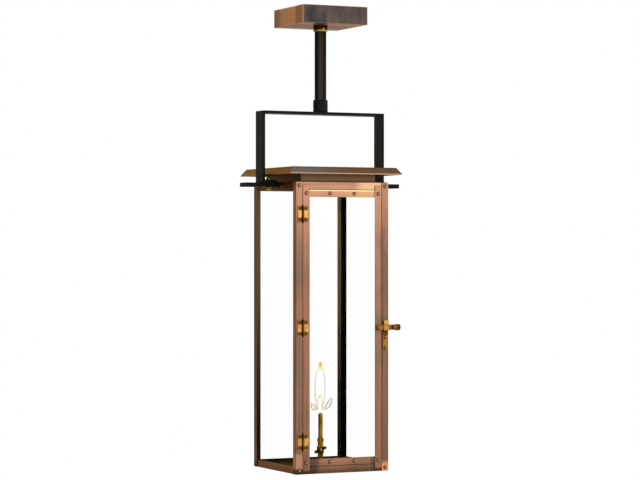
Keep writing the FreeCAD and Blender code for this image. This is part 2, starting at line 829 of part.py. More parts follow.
def door_parts():
    """Door frame, its pane and its fixings."""
    stile_height = dim.case_height - dim.stile_end - dim.stile_end
    strip = rectangle(ZERO, dim.stile_width, ZERO, stile_height)
    screw_levels = (low_screw, high_screw)
    leaf_screws = [(door_leaf_screw, level + sign * leaf_screw_rise)
                   for level in hinge_levels.values() for sign in SIGNS]
    pivot_hole = dim.latch_pivot_diameter / 2 + dim.fit
    hinge_holes = front_holes(leaf_screw_hole, dim.sheet, door_rail_face, leaf_screws)
    latch_hole = front_holes(pivot_hole, dim.sheet, door_rail_face, [(latch_x, latch_z)])
    foot = case_base + dim.stile_end
    for side, left, extra in (
        ("left", -door_half, hinge_holes),
        ("right", door_half - dim.stile_width, latch_hole),
    ):
        stile = place(plate(f"{side}_stile", strip, dim.sheet), left, door_rail_face, foot, FRONT)
        middle = left + dim.stile_width / 2
        spots = [(middle, level) for level in screw_levels]
        tools = front_holes(screw_hole, dim.sheet, door_rail_face, spots)
        node(cut(stile, tools + extra), f"door_stile_{side}")

    reach = door_half - dim.door_gap
    strip = rectangle(-reach, reach, ZERO, dim.rail_height)
    offsets = [sign * place_x for sign in SIGNS for place_x in (stile_screw, dim.door_screw_offset)]
    for name, level, screw_level in (("bottom", low_rail, low_screw), ("top", high_rail, high_screw)):
        rail = place(plate(f"{name}_door_rail", strip, dim.sheet), y=door_rail_back, z=level, turn=FRONT)
        tools = front_holes(screw_hole, dim.sheet, door_rail_back, [(x, screw_level) for x in offsets])
        node(cut(rail, tools), f"door_rail_{name}")

    pane_low = low_screw + dim.door_clip_half
    pane_high = high_screw - dim.door_clip_half
    half = door_half - dim.door_glass_edge
    pane = plate("door_pane", rectangle(-half, half, ZERO, pane_high - pane_low), dim.glass)
    node(place(pane, y=door_rail_back + dim.glass, z=pane_low, turn=FRONT), "door_glass")

    stile_fixing = case_screw(dim.sheet + dim.sheet, "stile_screw")
    rail_fixing = case_screw(dim.sheet + dim.clip_sheet, "clip_screw")
    turn = screw_turn(FRONT)
    offset = dim.door_screw_offset
    corners = [(sign * stile_screw, door_face, level, turn) for sign in SIGNS for level in screw_levels]
    between = [(sign * offset, door_rail_face, level, turn) for sign in SIGNS for level in screw_levels]
    group = doc.addObject("Part::Compound", "door_screw_group")
    group.Links = copies(stile_fixing, corners).Links + copies(rail_fixing, between).Links
    node(group, "door_screws")

    wall = dim.clip_sheet
    step = dim.door_clip_half
    depth = dim.glass + wall
    lip = step + dim.door_clip_lip
    bent = [
        (ZERO, -step), (wall, -step), (wall, step - wall), (depth, step - wall),
        (depth, lip), (dim.glass, lip), (dim.glass, step), (ZERO, step),
    ]
    half = dim.clip_width / 2
    strip = place(plate("clip_strip", bent, dim.clip_width), x=-half, turn=SIDE)
    clip = cut(strip, [cylinder(screw_hole, wall, turn=BACK)])
    flip = FreeCAD.Rotation(Y_AXIS, 180)
    places = [(sign * offset, door_rail_back, level, stance)
              for sign in SIGNS for level, stance in ((low_screw, UP), (high_screw, flip))]
    node(copies(clip, places), "door_glass_clips")


def hinge_parts():
    """Three butt hinges of two leaves and a pin each."""
    eye = dim.knuckle_diameter / 2
    bore = dim.pin_diameter / 2 + dim.fit
    knuckle = dim.hinge_height / KNUCKLES
    room = eye + dim.knuckle_gap
    half = dim.hinge_height / 2
    for name, level in hinge_levels.items():
        low = level - half
        leaves = {
            "post": (hinge_x - dim.leaf_width, hinge_x, -outer, post_leaf_screw, (1, 3)),
            "door": (hinge_x, hinge_x + dim.leaf_width, door_face, door_leaf_screw, (0, 2, 4)),
        }
        for owner, (left, right, seat, screw_x, slots) in leaves.items():
            leaf = block((left, seat - dim.leaf_sheet, low), (right, seat, level + half))
            barrel = cylinder(eye, dim.hinge_height, hinge_x, hinge_y, low)
            tools = [cylinder(bore, dim.hinge_height, hinge_x, hinge_y, low)]
            for slot in slots:
                bottom = low + slot * knuckle - dim.knuckle_gap / 2
                top = bottom + knuckle + dim.knuckle_gap
                tools.append(block((hinge_x - room, hinge_y - room, bottom), (hinge_x + room, seat, top)))
            spots = [(screw_x, level + sign * leaf_screw_rise) for sign in SIGNS]
            tools += front_holes(leaf_screw_hole, dim.leaf_sheet, seat, spots)
            node(cut(fused([leaf, barrel]), tools), f"hinge_{owner}_leaf_{name}")
    pin = cylinder(dim.pin_diameter / 2, dim.hinge_height)
    node(copies(pin, [(hinge_x, hinge_y, level - half, UP) for level in hinge_levels.values()]), "hinge_pins")
    grip = dim.leaf_sheet + dim.sheet
    fixing = screw(grip, dim.leaf_screw_diameter, dim.leaf_screw_head, dim.leaf_screw_dome, "leaf_screw")
    for owner, x, seat in (("post", post_leaf_screw, -outer), ("door", door_leaf_screw, door_face)):
        places = [(x, seat - dim.leaf_sheet, level + sign * leaf_screw_rise, screw_turn(FRONT))
                  for level in hinge_levels.values() for sign in SIGNS]
        node(copies(fixing, places), f"hinge_{owner}_screws")


def latch_parts():
    """Lift latch on the door and its hooked keeper on the post."""
    half = dim.latch_width / 2
    nose = half - dim.latch_gap
    outline = rounded(rectangle(-half, dim.latch_reach, -half, half), {0: nose, 3: nose})
    pivot_hole = dim.latch_pivot_diameter / 2 + dim.fit
    arm = place(plate("arm", outline, dim.latch_sheet), latch_x, latch_back, latch_z, FRONT)
    seat = door_face - dim.latch_gap
    boss = cylinder(dim.latch_boss_diameter / 2, seat - latch_back, latch_x, seat, latch_z, FRONT)
    radius = dim.knob_diameter / 2
    neck = dim.knob_neck_diameter / 2
    eased = radius / 4
    stub = dim.latch_sheet
    end = dim.knob_length
    profile = [
        (ZERO, -stub), (neck, -stub), (neck, ZERO), (radius - eased, ZERO), (radius, eased),
        (radius, end - eased, eased), (radius - eased, end), (ZERO, end),
    ]
    knob = place(turned("knob", profile), latch_x + dim.latch_reach, seat - radius, latch_z, LYING)
    length = seat - latch_back + dim.latch_sheet
    hole = cylinder(pivot_hole, length, latch_x, seat, latch_z, FRONT)
    node(cut(fused([arm, boss, knob]), [hole]), "latch_arm")
    grip = door_rail_face - latch_front + dim.latch_gap
    head = dim.screw_head + dim.latch_pivot_diameter - dim.screw_diameter
    pivot = screw(grip, dim.latch_pivot_diameter, head, dim.screw_dome, "pivot_screw")
    node(place(pivot, latch_x, latch_front - dim.latch_gap, latch_z, screw_turn(FRONT)), "latch_screw")

    shelf = -half - dim.latch_gap
    wall = dim.keeper_sheet
    hook = -wall - dim.latch_gap - dim.latch_sheet - dim.latch_gap
    heel = shelf - wall
    tongue = dim.keeper_tongue
    bent = [
        (ZERO, -dim.keeper_drop), (ZERO, shelf), (hook, shelf), (hook, tongue),
        (hook - wall, tongue), (hook - wall, heel), (-wall, heel), (-wall, -dim.keeper_drop),
    ]
    strip = plate("keeper_strip", rounded(bent, {5: wall}), dim.keeper_width)
    place(strip, keeper_x - dim.keeper_width / 2, -outer, latch_z, SIDE)
    levels = (latch_z - dim.keeper_screw_low, latch_z - dim.keeper_screw_high)
    holes = front_holes(screw_hole, wall, -outer, [(keeper_x, level) for level in levels])
    node(cut(strip, holes), "latch_keeper")
    fixing = case_screw(wall + dim.sheet, "keeper_screw")
    turn = screw_turn(FRONT)
    node(copies(fixing, [(keeper_x, -outer - wall, level, turn) for level in levels]), "keeper_screws")


def burner_parts():
    """Plug valve on the floor pan, its wing key and the burner tube."""
    tail = dim.valve_tail_diameter / 2
    waist = dim.valve_diameter / 2
    bulge = dim.valve_bulge_diameter / 2
    flange = dim.valve_flange_diameter / 2
    seat = dim.pan_lift + dim.tray_sheet
    bulge_low = dim.plug_height - dim.valve_bulge / 2
    bulge_high = dim.plug_height + dim.valve_bulge / 2
    throat = dim.burner_diameter / 2 + dim.fit
    inlet = dim.inlet_diameter / 2
    gas_way = dim.gas_way_diameter / 2
    inlet_end = dim.valve_bottom + dim.inlet_depth
    ease = bulge - waist
    profile = [
        (inlet, dim.valve_bottom), (tail, dim.valve_bottom), (tail, seat), (flange, seat),
        (flange, seat + dim.valve_flange), (waist, seat + dim.valve_flange), (waist, bulge_low - ease),
        (bulge, bulge_low), (bulge, bulge_high), (waist, bulge_high + ease),
        (waist, dim.valve_top - dim.valve_collar), (bulge - ease / 2, dim.valve_top - dim.valve_collar),
        (bulge - ease / 2, dim.valve_top), (throat, dim.valve_top), (throat, dim.valve_top - dim.burner_seat),
        (gas_way, dim.valve_top - dim.burner_seat), (gas_way, inlet_end), (inlet, inlet_end),
    ]
    blank = place(turned("valve_blank", profile), z=case_base, turn=STANDING)
    plug = dim.plug_diameter / 2
    cross_bore = cylinder(plug + dim.fit, bulge + bulge, ZERO, bulge, plug_z, FRONT)
    heading = FreeCAD.Rotation(Z_AXIS, -dim.key_heading.value)
    node(place(cut(blank, [cross_bore]), turn=heading), "valve_body")
    tail_hole = (ZERO, ZERO, tail + dim.fit)
    nut = plate("valve_ring", hexagon(dim.valve_nut_flats), dim.valve_nut_height, [tail_hole])
    node(place(nut, z=pan_under - dim.valve_nut_height), "valve_nut")

    key_back = -bulge - dim.latch_gap
    plug_body = cylinder(plug, bulge - key_back, ZERO, bulge, plug_z, FRONT)
    hub = cylinder(dim.key_hub_diameter / 2, dim.key_sheet, ZERO, key_back, plug_z, FRONT)
    half = dim.key_span / 2
    end = dim.key_width / 2 - dim.latch_gap
    side = dim.key_width / 2
    outline = rounded(rectangle(-half, half, -side, side), {corner: end for corner in range(4)})
    wings = plate("wings", outline, dim.key_sheet)
    tilt = FRONT.multiply(FreeCAD.Rotation(Z_AXIS, dim.key_tilt.value))
    place(wings, ZERO, key_back, plug_z, tilt)
    tapped = cylinder(leaf_screw_hole, dim.key_sheet + plug, ZERO, key_back + plug, plug_z, FRONT)
    node(place(cut(fused([plug_body, hub, wings]), [tapped]), turn=heading), "valve_key")
    grip = dim.key_sheet + plug
    fixing = screw(grip, dim.leaf_screw_diameter, dim.key_screw_head, dim.key_screw_dome, "key_screw")
    reach = key_back - dim.key_sheet
    angle = math.radians(dim.key_heading.value)
    x, y = reach * math.sin(angle), reach * math.cos(angle)
    node(place(fixing, x, y, plug_z, heading.multiply(screw_turn(FRONT))), "valve_screw")

    wall = dim.burner_diameter / 2
    bore = dim.burner_bore / 2
    jet = dim.burner_jet_diameter / 2
    tip = dim.burner_top
    shoulder = tip - dim.burner_tip_radius
    foot = dim.valve_top - dim.burner_seat
    tube = [
        (bore, foot), (wall, foot), (wall, shoulder, dim.burner_tip_radius), (jet, tip),
        (jet, shoulder + bore), (bore, shoulder),
    ]
    node(place(turned("tube", tube), z=case_base, turn=STANDING), "burner_tube")


ceiling_parts()
stem_parts()
yoke_parts()
roof_parts()
case_parts()
door_parts()
hinge_parts()
latch_parts()
burner_parts()
doc.recompute()

failed = [item.Label for item in doc.Objects if {"Invalid", "Error"} & set(item.State)]
failed += [piece.Label for piece in nodes if piece.Shape.isNull() or not piece.Shape.isValid()]
if failed:
    raise RuntimeError(f"these objects failed: {failed}")

os.makedirs("parts", exist_ok=True)
for piece in nodes:
    piece.Shape.exportStep(f"parts/{piece.Label}.step")
print(f"{len(nodes)} sub-parts written")
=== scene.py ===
"""Looks of a square copper gas lantern that hangs from a ceiling on a flat-bar yoke."""
import logging
import math
from collections.abc import Iterable, Sequence
from dataclasses import dataclass, replace
from enum import Enum

import bmesh
import bpy
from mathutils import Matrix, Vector


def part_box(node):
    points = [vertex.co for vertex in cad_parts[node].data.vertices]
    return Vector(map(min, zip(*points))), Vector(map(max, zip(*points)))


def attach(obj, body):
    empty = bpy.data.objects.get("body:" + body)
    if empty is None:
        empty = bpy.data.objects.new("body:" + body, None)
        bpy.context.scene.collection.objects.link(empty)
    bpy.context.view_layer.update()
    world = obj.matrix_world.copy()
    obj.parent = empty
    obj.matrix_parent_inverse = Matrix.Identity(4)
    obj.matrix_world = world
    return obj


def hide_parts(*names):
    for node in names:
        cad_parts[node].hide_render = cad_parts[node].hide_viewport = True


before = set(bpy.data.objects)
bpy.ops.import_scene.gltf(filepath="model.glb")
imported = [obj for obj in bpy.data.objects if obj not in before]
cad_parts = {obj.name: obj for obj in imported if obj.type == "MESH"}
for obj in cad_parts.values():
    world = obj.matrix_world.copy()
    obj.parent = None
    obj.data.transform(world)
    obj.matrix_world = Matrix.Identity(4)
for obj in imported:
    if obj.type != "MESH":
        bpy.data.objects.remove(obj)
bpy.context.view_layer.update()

LOG = logging.getLogger("yoke_lantern")
Point = tuple[float, float, float]
Span = tuple[float, float]
Colour = tuple[float, float, float, float]
WHITE: Colour = (1.0, 1.0, 1.0, 1.0)
BLACK: Colour = (0.0, 0.0, 0.0, 1.0)
FRONT: Point = (0.0, -1.0, 0.0)
BACK: Point = (0.0, 1.0, 0.0)
LEFT: Point = (-1.0, 0.0, 0.0)
RIGHT: Point = (1.0, 0.0, 0.0)
DOWN: Point = (0.0, 0.0, -1.0)
SIGNS = (-1, 1)
NOISE_MEAN = 0.5


def tone(red: int, green: int, blue: int) -> Colour:
    """Turn a screen colour into the linear colour that a shader takes.

    Args:
        red: Red from 0 to 255.
        green: Green from 0 to 255.
        blue: Blue from 0 to 255.

    Returns:
        The linear colour with full alpha.
    """
    linear = []
    for level in (red, green, blue):
        share = level / 255
        linear.append(share / 12.92 if share <= 0.04045 else ((share + 0.055) / 1.055) ** 2.4)
    return (*linear, 1.0)


class Signal:
    """A node's outlet that adds Math nodes when it stands in an expression."""

    def __init__(self, graph: "Graph", socket: bpy.types.NodeSocket) -> None:
        """Keep the outlet and the graph that it belongs to."""
        self.graph = graph
        self.socket = socket

    def math(self, operation: str, first: "Signal | float", second: "Signal | float") -> "Signal":
        """Add one Math node by Blender's name of its operation and return its result."""
        return self.graph.add("ShaderNodeMath", {"operation": operation}, {0: first, 1: second})

    def __add__(self, other: "Signal | float") -> "Signal":
        """Add a value."""
        return self.math("ADD", self, other)

    def __radd__(self, other: float) -> "Signal":
        """Add to a number."""
        return self.math("ADD", other, self)

    def __sub__(self, other: "Signal | float") -> "Signal":
        """Take a value away."""
        return self.math("SUBTRACT", self, other)

    def __rsub__(self, other: float) -> "Signal":
        """Take this from a number."""
        return self.math("SUBTRACT", other, self)

    def __mul__(self, other: "Signal | float") -> "Signal":
        """Multiply by a value."""
        return self.math("MULTIPLY", self, other)

    def __rmul__(self, other: float) -> "Signal":
        """Multiply a number."""
        return self.math("MULTIPLY", other, self)

    def __neg__(self) -> "Signal":
        """Turn the sign round."""
        return self.math("SUBTRACT", 0.0, self)

    def __abs__(self) -> "Signal":
        """Drop the sign."""
        return self.math("ABSOLUTE", self, 0.0)

    def most(self, other: "Signal | float") -> "Signal":
        """Keep the larger of two values."""
        return self.math("MAXIMUM", self, other)

    def sway(self, swing: float) -> "Signal":
        """Return this noise about zero, with a swing of its own."""
        return swing * (self - NOISE_MEAN)

    def ramp(self, low: float, high: float) -> "Signal":
        """Spread the values from low to high smoothly over 0 to 1, without overshoot."""
        sockets = {"Value": self, "From Min": low, "From Max": high}
        return self.graph.add("ShaderNodeMapRange", {"interpolation_type": "SMOOTHSTEP"}, sockets)


class Graph:
    """A node tree that is written as Python calls."""

    def __init__(self, tree: bpy.types.NodeTree) -> None:
        """Take a tree and clear it."""
        self.tree = tree
        self.tree.nodes.clear()

    def add(
        self,
        kind: str,
        settings: dict[str, object] | None = None,
        sockets: dict[str | int, object] | None = None,
        outlet: str | int = 0,
    ) -> Signal:
        """Add one node, set it up and link it.

        Args:
            kind: Blender's type of the node.
            settings: The node's own properties, set first. "stops" holds a ramp's stops.
            sockets: A value or a Signal for each inlet, by name or index.
            outlet: The outlet to return, by name or index.

        Returns:
            The chosen outlet.
        """
        node = self.tree.nodes.new(kind)
        for name, value in (settings or {}).items():
            if name == "stops":
                self.set_stops(node, value)
            else:
                setattr(node, name, value)
        for inlet, value in (sockets or {}).items():
            if isinstance(value, Signal):
                self.tree.links.new(value.socket, node.inputs[inlet])
            else:
                node.inputs[inlet].default_value = value
        return Signal(self, node.outputs[outlet] if node.outputs else node.inputs[0])

    @staticmethod
    def set_stops(node: bpy.types.Node, stops: Sequence[tuple[float, Colour]]) -> None:
        """Give a colour ramp its places and colours.

        Args:
            node: The ramp's node.
            stops: The place and colour of each stop, in order.
        """
        elements = node.color_ramp.elements
        while len(elements) < len(stops):
            elements.new(0.5)
        for element, (place, colour) in zip(elements, stops):
            element.position = place
            element.color = colour

    def axis(self, vector: Signal, name: str) -> Signal:
        """Return one axis of a vector."""
        return self.add("ShaderNodeSeparateXYZ", {}, {0: vector}, outlet=name)

    def vector(self, **axes: Signal | float) -> Signal:
        """Return a vector with the given X, Y and Z."""
        return self.add("ShaderNodeCombineXYZ", {}, axes)


class Grain(Enum):
    """Which way a sheet was brushed, as the stretch of its streaks per metre."""

    UPRIGHT = (420.0, 420.0, 3.0)
    CROSSWISE = (3.0, 420.0, 420.0)
    DEEP = (420.0, 3.0, 420.0)
    LEVEL = (3.0, 3.0, 420.0)
    ROUND = (90.0, 90.0, 500.0)


@dataclass(frozen=True)
class Texture:
    """A noise by its scale per metre along each axis, its finer layers and their strength."""

    stretch: Point
    detail: float = 3.0
    rough: float = 0.6


class Shader(Graph):
    """A material's node tree with the masks that the lantern's finishes share."""

    FEW = {"samples": 6}
    EDGE: Span = (0.02, 0.25)
    JOINT: Span = (0.12, 0.85)
    INWARD: Span = (0.02, 0.05)
    BUMP_STRENGTH = 0.6

    def __init__(self, name: str) -> None:
        """Start an empty material.

        Args:
            name: The material's name.
        """
        self.material = bpy.data.materials.new(name)
        self.material.use_nodes = True
        super().__init__(self.material.node_tree)
        self.place = self.add("ShaderNodeTexCoord", outlet="Object")
        self.facing = self.add("ShaderNodeTexCoord", outlet="Normal")

    def at(self, axis: str) -> Signal:
        """Return one axis of the place on the lantern, in metres."""
        return self.axis(self.place, axis)

    def toward(self, axis: str) -> Signal:
        """Return one axis of the way that the face looks."""
        return self.axis(self.facing, axis)

    def stretched(self, scale: Point) -> Signal:
        """Return the place, scaled along each axis."""
        return self.add("ShaderNodeMapping", {}, {"Vector": self.place, "Scale": scale})

    def noise(self, texture: Texture) -> Signal:
        """Return a texture's noise, about 0.5 on average.

        Args:
            texture: The noise to make.

        Returns:
            Its value.
        """
        sockets = {"Vector": self.stretched(texture.stretch), "Scale": 1.0}
        sockets |= {"Detail": texture.detail, "Roughness": texture.rough}
        return self.add("ShaderNodeTexNoise", {}, sockets)

    def blend(
        self, share: Signal | float, first: Signal | Colour, second: Signal | Colour,
    ) -> Signal:
        """Mix two colours by the share of the second one."""
        settings = {"data_type": "RGBA", "clamp_factor": True}
        return self.add("ShaderNodeMix", settings, {0: share, 6: first, 7: second}, outlet=2)

    def dot(self, first: Signal, second: Signal | Point) -> Signal:
        """Return the dot product of two vectors."""
        settings = {"operation": "DOT_PRODUCT"}
        return self.add("ShaderNodeVectorMath", settings, {0: first, 1: second}, outlet="Value")

    def eased(self, radius: float) -> Signal:
        """Return the normal of a surface whose edges are eased by a radius in metres."""
        return self.add("ShaderNodeBevel", self.FEW, {"Radius": radius})

    def edge(self, eased: Signal) -> Signal:
        """Return 0 on a flat and up to 1 where the eased normal turns along an edge."""
        true = self.add("ShaderNodeNewGeometry", outlet="True Normal")
        return (1.0 - self.dot(eased, true)).ramp(*self.EDGE)

    def crevice(self, reach: float) -> Signal:
        """Return 1 deep in a joint and 0 on metal that is open as far as a reach in metres."""
        sky = self.add("ShaderNodeAmbientOcclusion", self.FEW, {"Distance": reach}, outlet="AO")
        return (1.0 - sky).ramp(*self.JOINT)

    def inward(self) -> Signal:
        """Return 1 on faces that look at the lantern's upright middle line and 0 elsewhere."""
        level = self.vector(X=self.at("X"), Y=self.at("Y"))
        return (-self.dot(level, self.facing)).ramp(*self.INWARD)

    def bump(self, height: Signal, depth: float, normal: Signal) -> Signal:
        """Return a normal that follows a height from 0 to 1, with its depth in metres."""
        sockets = {"Distance": depth, "Height": height, "Normal": normal}
        return self.add("ShaderNodeBump", {}, sockets | {"Strength": self.BUMP_STRENGTH})

    def surface(self, sockets: dict[str, object]) -> bpy.types.Material:
        """End the tree in a Principled shader.

        Args:
            sockets: The shader's values and links.

        Returns:
            The finished material.
        """
        shade = self.add("ShaderNodeBsdfPrincipled", {}, sockets)
        self.add("ShaderNodeOutputMaterial", {}, {"Surface": shade})
        return self.material


@dataclass(frozen=True)
class Band:
    """A stripe of another colour across one axis of the lantern."""

    axis: str
    middle: float
    reach: float
    colour: Colour
    share: float

    def lay(self, shader: Shader, base: Signal) -> Signal:
        """Return a colour with the stripe over it, which fades over the outer half of its reach."""
        near = self.reach - abs(shader.at(self.axis) - self.middle)
        return shader.blend(near.ramp(0.0, 0.5 * self.reach) * self.share, base, self.colour)


@dataclass(frozen=True)
class Finish:
    """A finish of the lantern, made once and shared by the pieces that have it."""

    name: str
    bands: tuple[Band, ...] = ()

    def banded(self, shader: Shader, base: Signal) -> Signal:
        """Return a colour with all the finish's stripes over it.

        Args:
            shader: The shader that takes the nodes.
            base: The colour under the stripes.

        Returns:
            The mixed colour.
        """
        for band in self.bands:
            base = band.lay(shader, base)
        return base

    def material(self) -> bpy.types.Material:
        """Return the finish's material."""
        made = bpy.data.materials.get(self.name)
        return made if made else self.paint(Shader(self.name))

    def paint(self, shader: Shader) -> bpy.types.Material:
        """Fill the shader and return its material."""
        raise NotImplementedError


@dataclass(frozen=True)
class AgedCopper(Finish):
    """Brushed sheet copper with a brown patina, with painted light on top of it: a painted
    highlight on the upper part, painted reflections on faces that look front, back, up and down,
    and painted shade on the inner faces.
    """

    grain: Grain = Grain.UPRIGHT
    clouds: Texture = Texture((22.0, 22.0, 9.0))
    # Bright copper: the painted highlight on the upper part, and the blush near the foot.
    highlight_and_blush: Colour = tone(222, 161, 130)
    rose: Colour = tone(178, 126, 100)
    brown: Colour = tone(147, 114, 90)
    umber: Colour = tone(112, 88, 67)
    dark: Colour = tone(60, 44, 30)
    # Edge colour: bare metal through the patina, partly a painted highlight.
    bright_edge: Colour = tone(226, 166, 128)
    # Two greys of the painted reflection on faces that look front or back.
    reflected_grey: Colour = tone(96, 84, 76)
    painted_reflection: Colour = tone(96, 84, 76)
    rear: Colour = tone(108, 78, 42)
    # Colour of the painted reflection on faces that look down.
    underside_reflection: Colour | None = None
    # Colour of the painted highlight on faces that look up.
    crown_highlight: Colour | None = None
    # Inner faces: painted shade from lighter high up to darker low down.
    inside_high: Colour = tone(166, 137, 90)
    inside_low: Colour = tone(55, 44, 31)
    # Darkest tone: painted shade on the inner cheeks and corner, and dark brush marks inside.
    darkest: Colour = tone(11, 7, 4)
    sheen: Colour = WHITE
    # Heights over which the painted highlight fades in.
    highlight_rise: Span = (-0.62, -0.38)
    umber_drop: Span = (0.72, 1.10)
    inner_shade_drop: Span = (0.42, 0.95)
    rear_y: Span = (-0.02, 0.10)
    reflection_x: Span = (-0.12, 0.03)
    inner_shade_x: Span = (0.1065, 0.1085)
    foot: float = -1.033
    foot_fade: float = 0.008
    foot_share: float = 0.6
    umber_share: float = 0.25
    rear_share: float = 0.8
    inner_shade_share: float = 0.95
    blush_rise: float = 0.04
    blush_fade: float = 0.012
    reflection_share: float = 0.0
    rosy: float = 0.40
    blush: float = 0.0
    brushing: float = 0.38
    metal: bool = True
    edge_brightening: float = 0.42
    joint_reach: float = 0.005
    brush_depth: float = 0.00008
    ease: float = 0.0009

    def weathered(
        self, shader: Shader, streak: Signal, band: Signal, cloud: Signal, upper_highlight: Signal,
    ) -> Signal:
        """Return the outer colour, from umber at the foot over rose and brown to a painted
        highlight at the top.

        Args:
            shader: The shader that takes the nodes.
            streak: Fine brush marks.
            band: Broad brush marks.
            cloud: Large patches.
            upper_highlight: The share of the painted highlight by height.

        Returns:
            The colour before joints and edges.
        """
        drop = -(shader.at("Z") + cloud.sway(0.14))
        pink = (cloud + band.sway(0.9)).ramp(self.rosy, self.rosy + 0.22)
        base = shader.blend(pink, self.brown, self.rose)
        base = shader.blend(drop.ramp(*self.umber_drop) * self.umber_share, base, self.umber)
        # Painted highlight: the upper part is lightened towards bright copper.
        base = shader.blend(upper_highlight * (0.73 + band.sway(0.9)), base, self.highlight_and_blush)
        low = self.foot - shader.at("Z")
        if self.blush:
            blush = (low + self.blush_rise).ramp(0.0, self.blush_fade)
            base = shader.blend(blush * self.blush, base, self.highlight_and_blush)
        base = shader.blend(low.ramp(0.0, self.foot_fade) * self.foot_share, base, self.dark)
        behind = shader.at("Y").ramp(*self.rear_y)
        base = shader.blend(behind * self.rear_share, base, self.rear)
        # Painted reflection: faces that look front or back turn towards the reflected greys.
        if self.reflection_share:
            side = abs(shader.toward("Y")).ramp(0.2, 0.5)
            bluish = (shader.at("X") + cloud.sway(0.1)).ramp(*self.reflection_x)
            grey = shader.blend(bluish, self.painted_reflection, self.reflected_grey)
            base = shader.blend(side * (self.reflection_share * (0.95 + cloud.sway(0.5))), base, grey)
        # Painted reflection: faces that look down take the floor's reflected colour.
        if self.underside_reflection:
            base = shader.blend((-shader.toward("Z")).ramp(0.5, 0.9), base, self.underside_reflection)
        # Painted highlight: faces that look up are lightened.
        if self.crown_highlight:
            up = shader.toward("Z").ramp(0.8, 0.95)
            base = shader.blend(up * (0.85 + cloud.sway(0.6)), base, self.crown_highlight)
        return shader.blend((0.62 - streak).ramp(0.0, 0.34) * self.brushing, base, self.dark)

    def shaded_inside(self, shader: Shader, streak: Signal) -> Signal:
        """Return the colour of the inner faces, with painted shade that darkens them towards the
        floor, on the cheeks and in the corner.

        Args:
            shader: The shader that takes the nodes.
            streak: Fine brush marks.

        Returns:
            The colour before joints and edges.
        """
        drop = (-shader.at("Z")).ramp(*self.inner_shade_drop)
        base = shader.blend(drop, self.inside_high, self.inside_low)
        # Painted shade: sideways-looking cheeks and the corner by the post edge are darkened.
        cheek = abs(shader.toward("X")).ramp(0.4, 0.8)
        corner = shader.at("X").ramp(*self.inner_shade_x)
        base = shader.blend(cheek.most(corner) * self.inner_shade_share, base, self.darkest)
        return shader.blend((0.6 - streak).ramp(0.0, 0.3) * 0.25, base, self.darkest)

    def paint(self, shader: Shader) -> bpy.types.Material:
        """Lay patina, brushing, a painted highlight, painted reflections, painted shade inside,
        dark joints and bright edges over each other.

        Args:
            shader: The shader that takes the nodes.

        Returns:
            The finished material.
        """
        streak = shader.noise(Texture(self.grain.value, 4.0))
        band = shader.noise(Texture(tuple(0.3 * scale for scale in self.grain.value), 2.0, 0.5))
        cloud = shader.noise(self.clouds)
        # Painted highlight: its share grows with height.
        upper_highlight = (shader.at("Z") + cloud.sway(0.10)).ramp(*self.highlight_rise)
        base = self.weathered(shader, streak, band, cloud, upper_highlight)
        joint = shader.crevice(self.joint_reach)
        inner = shader.inward()
        # Painted shade: inner faces take the shaded inside colour.
        base = shader.blend(inner, base, self.shaded_inside(shader, streak))
        base = shader.blend(joint * (0.85 - 0.8 * inner), base, self.dark)
        eased = shader.eased(self.ease)
        edge = shader.edge(eased) * (1.0 - inner)
        # Bright edges: partly bare metal through the patina, partly a painted highlight.
        base = shader.blend(edge * (0.15 + self.edge_brightening * band), base, self.bright_edge)
        rough = 0.30 + 0.16 * streak + 0.14 * (1.0 - upper_highlight) * cloud + 0.2 * joint + 0.3 * inner
        return shader.surface({
            "Base Color": self.banded(shader, base),
            "Metallic": 1.0 - inner if self.metal else 0.0,
            "Roughness": rough,
            "Specular IOR Level": 0.0,
            "Specular Tint": self.sheen,
            "Normal": shader.bump(streak, self.brush_depth, eased),
        })


@dataclass(frozen=True)
class BlackIron(Finish):
    """Satin black paint on flat bar and pipe, scuffed brown along its edges, with a painted
    highlight down the front of the pipe.
    """

    grain: Grain = Grain.CROSSWISE
    peels: Texture = Texture((900.0, 900.0, 900.0), 2.0, 0.5)
    clouds: Texture = Texture((18.0, 18.0, 18.0), 4.0)
    black: Colour = tone(27, 24, 19)
    darkest: Colour = tone(14, 12, 9)
    # Brown of the scuffed edges, also the colour of the painted highlight.
    scuff_and_highlight: Colour = tone(54, 44, 32)
    shine: float = 0.12
    # Share of the painted highlight, which faces the way given below.
    painted_reflection: float = 0.0
    highlight_way: Point = (-0.43, -0.90, 0.0)
    highlight_turn: Span = (0.82, 1.0)
    joint_reach: float = 0.006
    peel_depth: float = 0.00002
    ease: float = 0.0009

    def paint(self, shader: Shader) -> bpy.types.Material:
        """Lay fine orange peel, faint brush marks, scuffed brown edges and a painted highlight over
        each other.

        Args:
            shader: The shader that takes the nodes.

        Returns:
            The finished material.
        """
        peel = shader.noise(self.peels)
        brush = shader.noise(Texture(self.grain.value))
        cloud = shader.noise(self.clouds)
        base = shader.blend((0.6 * cloud + 0.4 * brush).ramp(0.35, 0.68), self.darkest, self.black)
        eased = shader.eased(self.ease)
        base = shader.blend(shader.edge(eased) * 0.15, base, self.scuff_and_highlight)
        # Painted highlight: a lighter band on faces that look along the highlight's way.
        if self.painted_reflection:
            ahead = shader.dot(shader.facing, self.highlight_way) + brush.sway(0.1)
            base = shader.blend(ahead.ramp(*self.highlight_turn) * self.painted_reflection, base, self.scuff_and_highlight)
        return shader.surface({
            "Base Color": shader.blend(shader.crevice(self.joint_reach) * 0.8, base, self.darkest),
            "Roughness": 0.36 + 0.16 * cloud + 0.10 * brush,
            "Normal": shader.bump(0.7 * peel + 0.3 * brush, self.peel_depth, eased),
            "Specular IOR Level": self.shine,
        })


